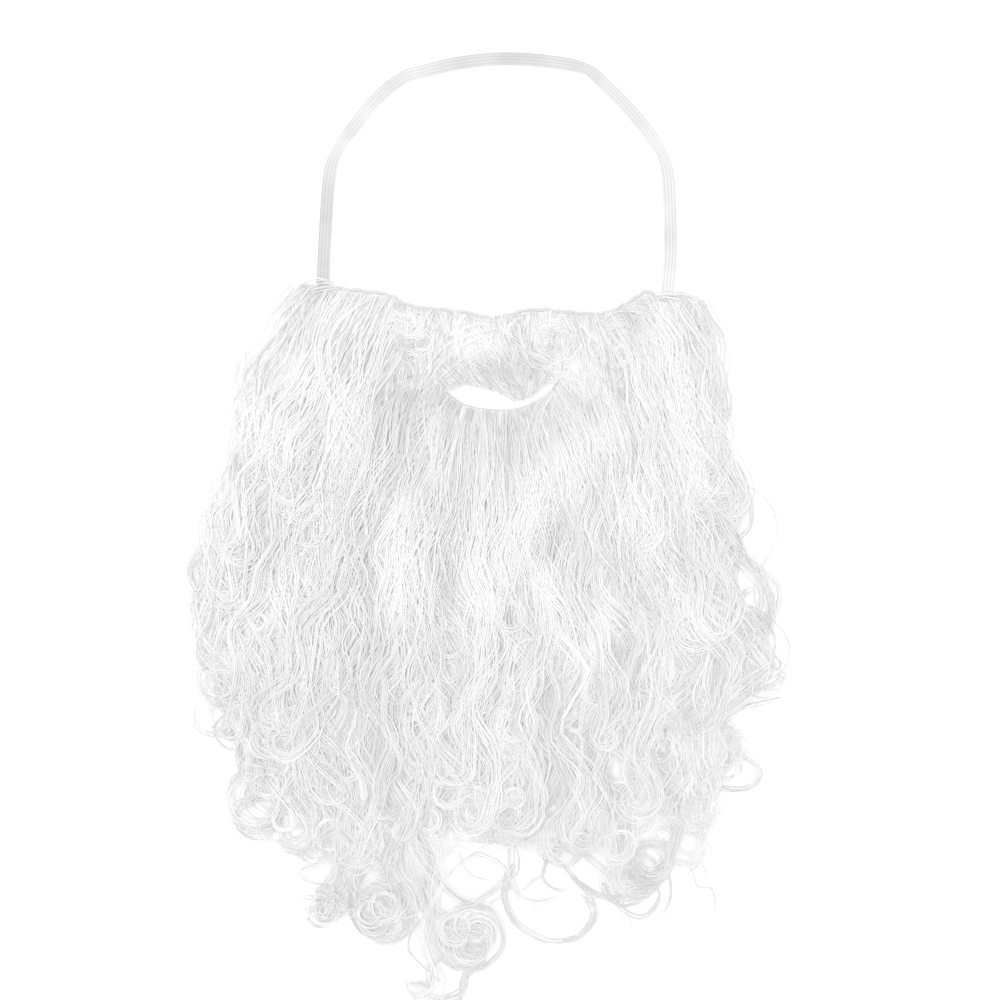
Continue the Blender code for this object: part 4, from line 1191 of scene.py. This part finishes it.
def elastic_finish():
    """Knitted white elastic: matte cords with painted shade in the grooves between, crossed by covering yarn
    1.3 mm apart.
    """
    made, tree, shader = new_finish("knitted_white_elastic")
    place = add_node(tree, "ShaderNodeUVMap", {"uv_map": "UVMap"})
    cords = add_node(tree, "ShaderNodeTexWave", {"bands_direction": "X"},
                     {"Vector": place.outputs[0], "Scale": WAVE_STEP * STRAP_RIBS / STRAP_WIDTH,
                      "Phase Offset": -math.pi / 2, "Distortion": 0.3, "Detail": 1.0})
    yarn = add_node(tree, "ShaderNodeTexWave", {"bands_direction": "Y"},
                    {"Vector": place.outputs[0], "Scale": WAVE_STEP / 1.3, "Distortion": 1.5, "Detail": 2.0})
    worn = add_node(tree, "ShaderNodeTexNoise", None,
                    {"Vector": place.outputs[0], "Scale": 0.045, "Detail": 3.0})
    # Painted shade: the grooves between the cords are coloured darker than the cords.
    grooves = add_node(tree, "ShaderNodeValToRGB", None, {0: cords.outputs["Fac"]})
    set_stops(grooves, (0.0, "#ACACAC"), (0.6, "#D6D6D6"))
    shades = add_node(tree, "ShaderNodeValToRGB", None, {0: worn.outputs["Fac"]})
    set_stops(shades, (0.35, "#DCDCDC"), (0.65, "#FFFFFF"))

    # It is greyer near its left end and along its top.
    parts = add_node(tree, "ShaderNodeSeparateXYZ", None, {0: place.outputs[0]})
    share = add_node(tree, "ShaderNodeMath", {"operation": "DIVIDE"}, {0: parts.outputs[1], 1: STRAP_LENGTH})
    greyer_stretches = add_node(tree, "ShaderNodeValToRGB", None, {0: share.outputs[0]})
    set_stops(greyer_stretches, (0.15, "#D0D0D0"), (0.22, "#FFFFFF"), (0.36, "#FFFFFF"),
              (0.44, "#D8D8D8"), (0.58, "#D8D8D8"), (0.68, "#FFFFFF"))
    toned = add_node(tree, "ShaderNodeMix", {"data_type": "RGBA", "blend_type": "MULTIPLY"},
                     {0: 1.0, 6: grooves.outputs[0], 7: greyer_stretches.outputs[0]})
    colour = add_node(tree, "ShaderNodeMix", {"data_type": "RGBA", "blend_type": "MULTIPLY"},
                      {0: 1.0, 6: toned.outputs[2], 7: shades.outputs[0]})
    tree.links.new(colour.outputs[2], shader.inputs["Base Color"])
    relief = add_node(tree, "ShaderNodeBump", None,
                      {"Height": yarn.outputs["Fac"], "Strength": 0.5, "Distance": 0.25 * MM})
    tree.links.new(relief.outputs[0], shader.inputs["Normal"])
    shader.inputs["Roughness"].default_value = 0.8
    return made


def strap(finish):
    """The flat elastic: a band of four cords swept along its line, tucked under the cloth at both ends.

    It leans and narrows where it is creased, and doubles over itself for a little at its right.
    """
    ends = [(x, y - STRAP_TUCK) for x, y in (STRAP_LINE[0], STRAP_LINE[-1])]
    line = smooth_line((ends[0], *STRAP_LINE, ends[1]), 14)
    heading = np.gradient(line, axis=0)
    side = np.column_stack((heading[:, 1], -heading[:, 0]))
    side /= np.linalg.norm(side, axis=1)[:, None]
    across = np.linspace(-1.0, 1.0, 6 * STRAP_RIBS + 1)
    half_thick = STRAP_THICK * (0.35 - 0.15 * np.cos(STRAP_RIBS * math.pi * (across + 1)))
    rings = []
    for point, out in zip(line, side):
        crease = max(math.exp(-((point[0] - x) ** 2 + (point[1] - y) ** 2) / 36) for x, y in STRAP_CREASES)
        half = STRAP_WIDTH / 2 * (1 - 0.14 * crease)
        lap = 1.0 if point[0] > 60 and point[1] < STRAP_LAP_Y else 0.0
        rise = STRAP_THICK * (0.5 + 0.7 * lap) + 0.9 * crease
        top = [(*(point + out * s * half), rise + h + 0.5 * crease * s) for s, h in zip(across, half_thick)]
        low = [(*(point + out * s * half), rise - h + 0.5 * crease * s) for s, h in zip(across, half_thick)]
        rings.append(top + low[::-1])
    places = list(across * STRAP_WIDTH / 2) + list(across[::-1] * STRAP_WIDTH / 2)
    return new_item("elastic_strap_band", loft("elastic_strap_band", rings, places), finish)


def cloth_finish():
    """White warp knit: matte, with fine rows of loops, drawn 1.6 mm apart so that they show."""
    made, tree, shader = new_finish("white_warp_knit")
    place = add_node(tree, "ShaderNodeTexCoord")
    rows = add_node(tree, "ShaderNodeTexWave", {"bands_direction": "X"},
                    {"Vector": place.outputs["Object"], "Scale": WAVE_STEP / (1.6 * MM), "Distortion": 1.2,
                     "Detail": 1.0, "Detail Scale": 3.0})
    loops = add_node(tree, "ShaderNodeTexWave", {"bands_direction": "Y"},
                     {"Vector": place.outputs["Object"], "Scale": WAVE_STEP / (1.1 * MM), "Distortion": 1.2})
    both = add_node(tree, "ShaderNodeMath", {"operation": "MULTIPLY"},
                    {0: rows.outputs["Fac"], 1: loops.outputs["Fac"]})
    ramp = add_node(tree, "ShaderNodeValToRGB", None, {0: both.outputs[0]})
    set_stops(ramp, (0.1, "#D2D2D2"), (0.7, "#F2F2F2"))
    tree.links.new(ramp.outputs[0], shader.inputs["Base Color"])
    relief = add_node(tree, "ShaderNodeBump", None,
                      {"Height": both.outputs[0], "Strength": 0.7, "Distance": 0.4 * MM})
    tree.links.new(relief.outputs[0], shader.inputs["Normal"])
    shader.inputs["Roughness"].default_value = 0.9
    return made


def backing(finish):
    """The cloth behind the hair: a soft sheet round the mouth opening."""
    outline = np.vstack((smooth_line(CHIN_EDGE, 6), smooth_line(TOP_EDGE, 4)))
    points, faces = plan_sheet(outline, mouth_outline(1.0), 5.0)
    x, y = points[:, 0], points[:, 1]
    level = CLOTH_Z + CLOTH_THICK / 2 + 0.15 * np.sin(x / 9) * np.cos(y / 11)
    mesh = bpy.data.meshes.new("backing_cloth_knit")
    mesh.from_pydata([put(*p) for p in zip(x, y, level)], [], faces)
    shell = bmesh.new()
    shell.from_mesh(mesh)
    bmesh.ops.delete(shell, geom=[v for v in shell.verts if not v.link_faces], context="VERTS")
    shell.to_mesh(mesh)
    area = sum(face.calc_area() for face in shell.faces)
    shell.free()
    item = new_item("backing_cloth_knit", mesh, finish)
    wall = item.modifiers.new("cloth", "SOLIDIFY")
    wall.thickness = 0.8 * MM
    wall.offset = 0.0
    return item, area


def hem_finish():
    """Thread wound round the rolled edges: greyer than the cloth, for its turns shade one another.

    Diagonal bands repeat at twice their length, so the turns are 1.8 mm apart, coarse enough to show.
    """
    made, tree, shader = new_finish("rolled_hem_thread")
    place = add_node(tree, "ShaderNodeUVMap", {"uv_map": "UVMap"})
    turns = add_node(tree, "ShaderNodeTexWave", {"bands_direction": "DIAGONAL"},
                     {"Vector": place.outputs[0], "Scale": WAVE_STEP / 0.9, "Distortion": 3.0, "Detail": 2.0})
    ramp = add_node(tree, "ShaderNodeValToRGB", None, {0: turns.outputs["Fac"]})
    set_stops(ramp, (0.1, "#9E9E9E"), (0.8, "#C4C4C4"))
    tree.links.new(ramp.outputs[0], shader.inputs["Base Color"])
    relief = add_node(tree, "ShaderNodeBump", None,
                      {"Height": turns.outputs["Fac"], "Strength": 0.8, "Distance": 0.3 * MM})
    tree.links.new(relief.outputs[0], shader.inputs["Normal"])
    shader.inputs["Roughness"].default_value = 0.8
    return made


def hem(finish):
    """The cloth's top edge rolled over into a thin round hem, uneven as hand-fed sewing is."""
    line = smooth_line(TOP_EDGE, 16)
    heading = np.gradient(line, axis=0)
    out = np.column_stack((-heading[:, 1], heading[:, 0]))
    out /= np.linalg.norm(out, axis=1)[:, None]
    k = np.arange(len(line))
    line = line + out * (0.4 * HEM_WIDTH + 0.2 + 0.35 * np.sin(0.9 * k) * np.sin(0.23 * k))[:, None]
    line = np.column_stack((line, np.full(len(line), HEM_Z)))
    size = 0.66 + 0.16 * np.sin(1.7 * k) * np.sin(0.31 * k)
    return new_item("top_hem_roll", tube("top_hem_roll", line, HEM_WIDTH / 2, HEM_HEIGHT / 2, size), finish)


def mouth_binding(finish):
    """A thin thread binding along the lower lip."""
    line = smooth_line(MOUTH[:6], 8)
    line = np.column_stack((line[:, 0], line[:, 1] + 0.1, np.full(len(line), HAIR_Z + 2.2)))
    return new_item("mouth_binding", tube("mouth_binding", line, 0.5, 0.6), finish)


def stitch_tree():
    """Geometry Nodes: a run of short thread stitches along guide lines."""
    tree, given = new_tree("run_of_stitches", (
        ("Pitch", "Float", 4.0 * MM),
        ("Stitch length", "Float", 2.8 * MM),
        ("Thread radius", "Float", 0.25 * MM),
        ("Material", "Material", None),
    ))
    guide = add_node(tree, "GeometryNodeMeshToCurve", None, {"Mesh": given["Geometry"]})
    spaced_out = add_node(tree, "GeometryNodeResampleCurve", {"mode": "LENGTH"},
                          {"Curve": guide.outputs[0], "Length": given["Pitch"]})
    along = add_node(tree, "GeometryNodeInputTangent")
    turned = add_node(tree, "FunctionNodeAlignRotationToVector", {"axis": "X"}, {"Vector": along.outputs[0]})
    ahead = add_node(tree, "ShaderNodeCombineXYZ", None, {"X": given["Stitch length"]})
    line = add_node(tree, "GeometryNodeCurvePrimitiveLine", None, {"End": ahead.outputs[0]})
    section = add_node(tree, "GeometryNodeCurvePrimitiveCircle", None,
                       {"Resolution": 6, "Radius": given["Thread radius"]})
    thread = add_node(tree, "GeometryNodeCurveToMesh", None,
                      {"Curve": line.outputs[0], "Profile Curve": section.outputs[0], "Fill Caps": True})
    placed = add_node(tree, "GeometryNodeInstanceOnPoints", None,
                      {"Points": spaced_out.outputs[0], "Instance": thread.outputs[0],
                       "Rotation": turned.outputs[0]})
    real = add_node(tree, "GeometryNodeRealizeInstances", None, {"Geometry": placed.outputs[0]})
    painted = add_node(tree, "GeometryNodeSetMaterial", None,
                       {"Geometry": real.outputs[0], "Material": given["Material"]})
    add_node(tree, "NodeGroupOutput", None, {0: painted.outputs[0]})
    return tree


def weft_stitches(finish):
    """Rows of stitches under the cloth that hold the hair on, each side of the mouth and below it."""
    edge = np.vstack((smooth_line(CHIN_EDGE, 6), smooth_line(TOP_EDGE, 4)))
    points = []
    edges = []
    for y in range(-92, 50, 9):
        x = np.arange(-98.0, 98.0, 4.0)
        row_y = y + 0.0006 * x ** 2
        held = inside(edge, x, row_y + 3) & inside(edge, x, row_y - 3) & ~inside(mouth_outline(6.0), x, row_y)
        for k, (px, py) in enumerate(zip(x, row_y)):
            if held[k]:
                if k and held[k - 1]:
                    edges.append((len(points) - 1, len(points)))
                points.append(put(px, py, CLOTH_Z))
    mesh = bpy.data.meshes.new("weft_stitches")
    mesh.from_pydata(points, edges, [])
    return through_nodes("weft_stitches", mesh, stitch_tree(), {"Material": finish})


def floor_and_light():
    """A plain white floor and soft light from all over the upper side."""
    bpy.ops.mesh.primitive_plane_add(size=FLOOR_SIZE, location=(0.0, 0.0, -FLOOR_DROP))
    floor = bpy.context.object
    floor.name = "floor"
    paper = bpy.data.materials.new("matte_white_paper")
    paper.use_nodes = True
    shader = paper.node_tree.nodes["Principled BSDF"]
    shader.inputs["Base Color"].default_value = linear("#F4F4F4")
    shader.inputs["Roughness"].default_value = 0.9
    shader.inputs["Emission Color"].default_value = linear("#FFFFFF")
    shader.inputs["Emission Strength"].default_value = 0.3
    floor.data.materials.append(paper)

    world = bpy.data.worlds.new("soft_studio")
    bpy.context.scene.world = world
    world.use_nodes = True
    sky = world.node_tree.nodes["Background"]
    sky.inputs["Color"].default_value = linear("#FFFFFF")
    sky.inputs["Strength"].default_value = 0.82

    lamp = bpy.data.lights.new("overhead", "SUN")
    lamp.angle = math.radians(22)
    lamp.energy = 2.2
    overhead = bpy.data.objects.new("overhead", lamp)
    bpy.context.scene.collection.objects.link(overhead)
    overhead.rotation_euler = (math.radians(-7), math.radians(-6), 0.0)

    # The photograph is developed very bright and soft, so the shades between the hairs stay pale.
    view = bpy.context.scene.view_settings
    view.view_transform = "Standard"
    view.gamma = 2.6


def camera():
    """Straight down on the beard, as the photograph was taken: half a millimetre of floor a pixel."""
    lens = bpy.data.cameras.new("camera")
    lens.lens = 85.0
    lens.sensor_width = 36.0
    item = bpy.data.objects.new("camera", lens)
    bpy.context.scene.collection.objects.link(item)
    item.location = put(*PICTURE_MIDDLE, SEEN_ACROSS * lens.lens / lens.sensor_width)
    bpy.context.scene.camera = item


def main():
    camera()
    floor_and_light()

    finished(strap(elastic_finish()), ["elastic_strap"])
    thread = hem_finish()
    edge = finished(hem(thread), ["top_hem"])
    binding = finished(mouth_binding(thread), ["backing_cloth"])
    stitches = finished(weft_stitches(thread), ["backing_cloth"])
    cloth, area = backing(cloth_finish())
    finished(cloth, ["backing_cloth"])

    fibre = hair_finish()
    tree = strand_tree()
    hair_nodes = ("cheek_hair_left", "cheek_hair_right", "chin_hair", "moustache_left", "moustache_right")
    finished(hair_mat(mat_finish()), hair_nodes)
    chance = np.random.default_rng(11)
    pieces = {}
    for node, locks, zone, share, unders, curls in ZONES:
        pieces[f"{node}_field"] = field_wisps(round(FIELD_WISPS * share), zone, chance)
        pieces[f"{node}_locks"] = lock_wisps(locks, chance)
        loose = hand_wisps(node, chance) + ball_wisps(node, chance)
        if node == "chin_hair":
            loose += lip_wisps(chance)
        loose += under_wisps(unders, zone, chance) + curl_wisps(curls, zone, chance)
        pieces[f"{node}_loose"] = loose
    pieces["moustache_left"] = hand_wisps("moustache_left", chance) + hem_wisps(chance)
    pieces["moustache_right"] = hand_wisps("moustache_right", chance) + fringe_wisps(chance)
    pieces["moustache_right"] += moustache_wisps(MOUSTACHE_WISPS, chance)
    for seed, (name, wisps) in enumerate(pieces.items()):
        guides = guide_mesh(name, wisps)
        item = through_nodes(f"{name}_strands", guides, tree, {"Seed": seed, "Material": fibre})
        print(item.name, sum(len(p.vertices) - 2 for p in item.data.polygons), "triangles")
        node = next(node for node in hair_nodes if name.startswith(node))
        finished(item, [node])


main()
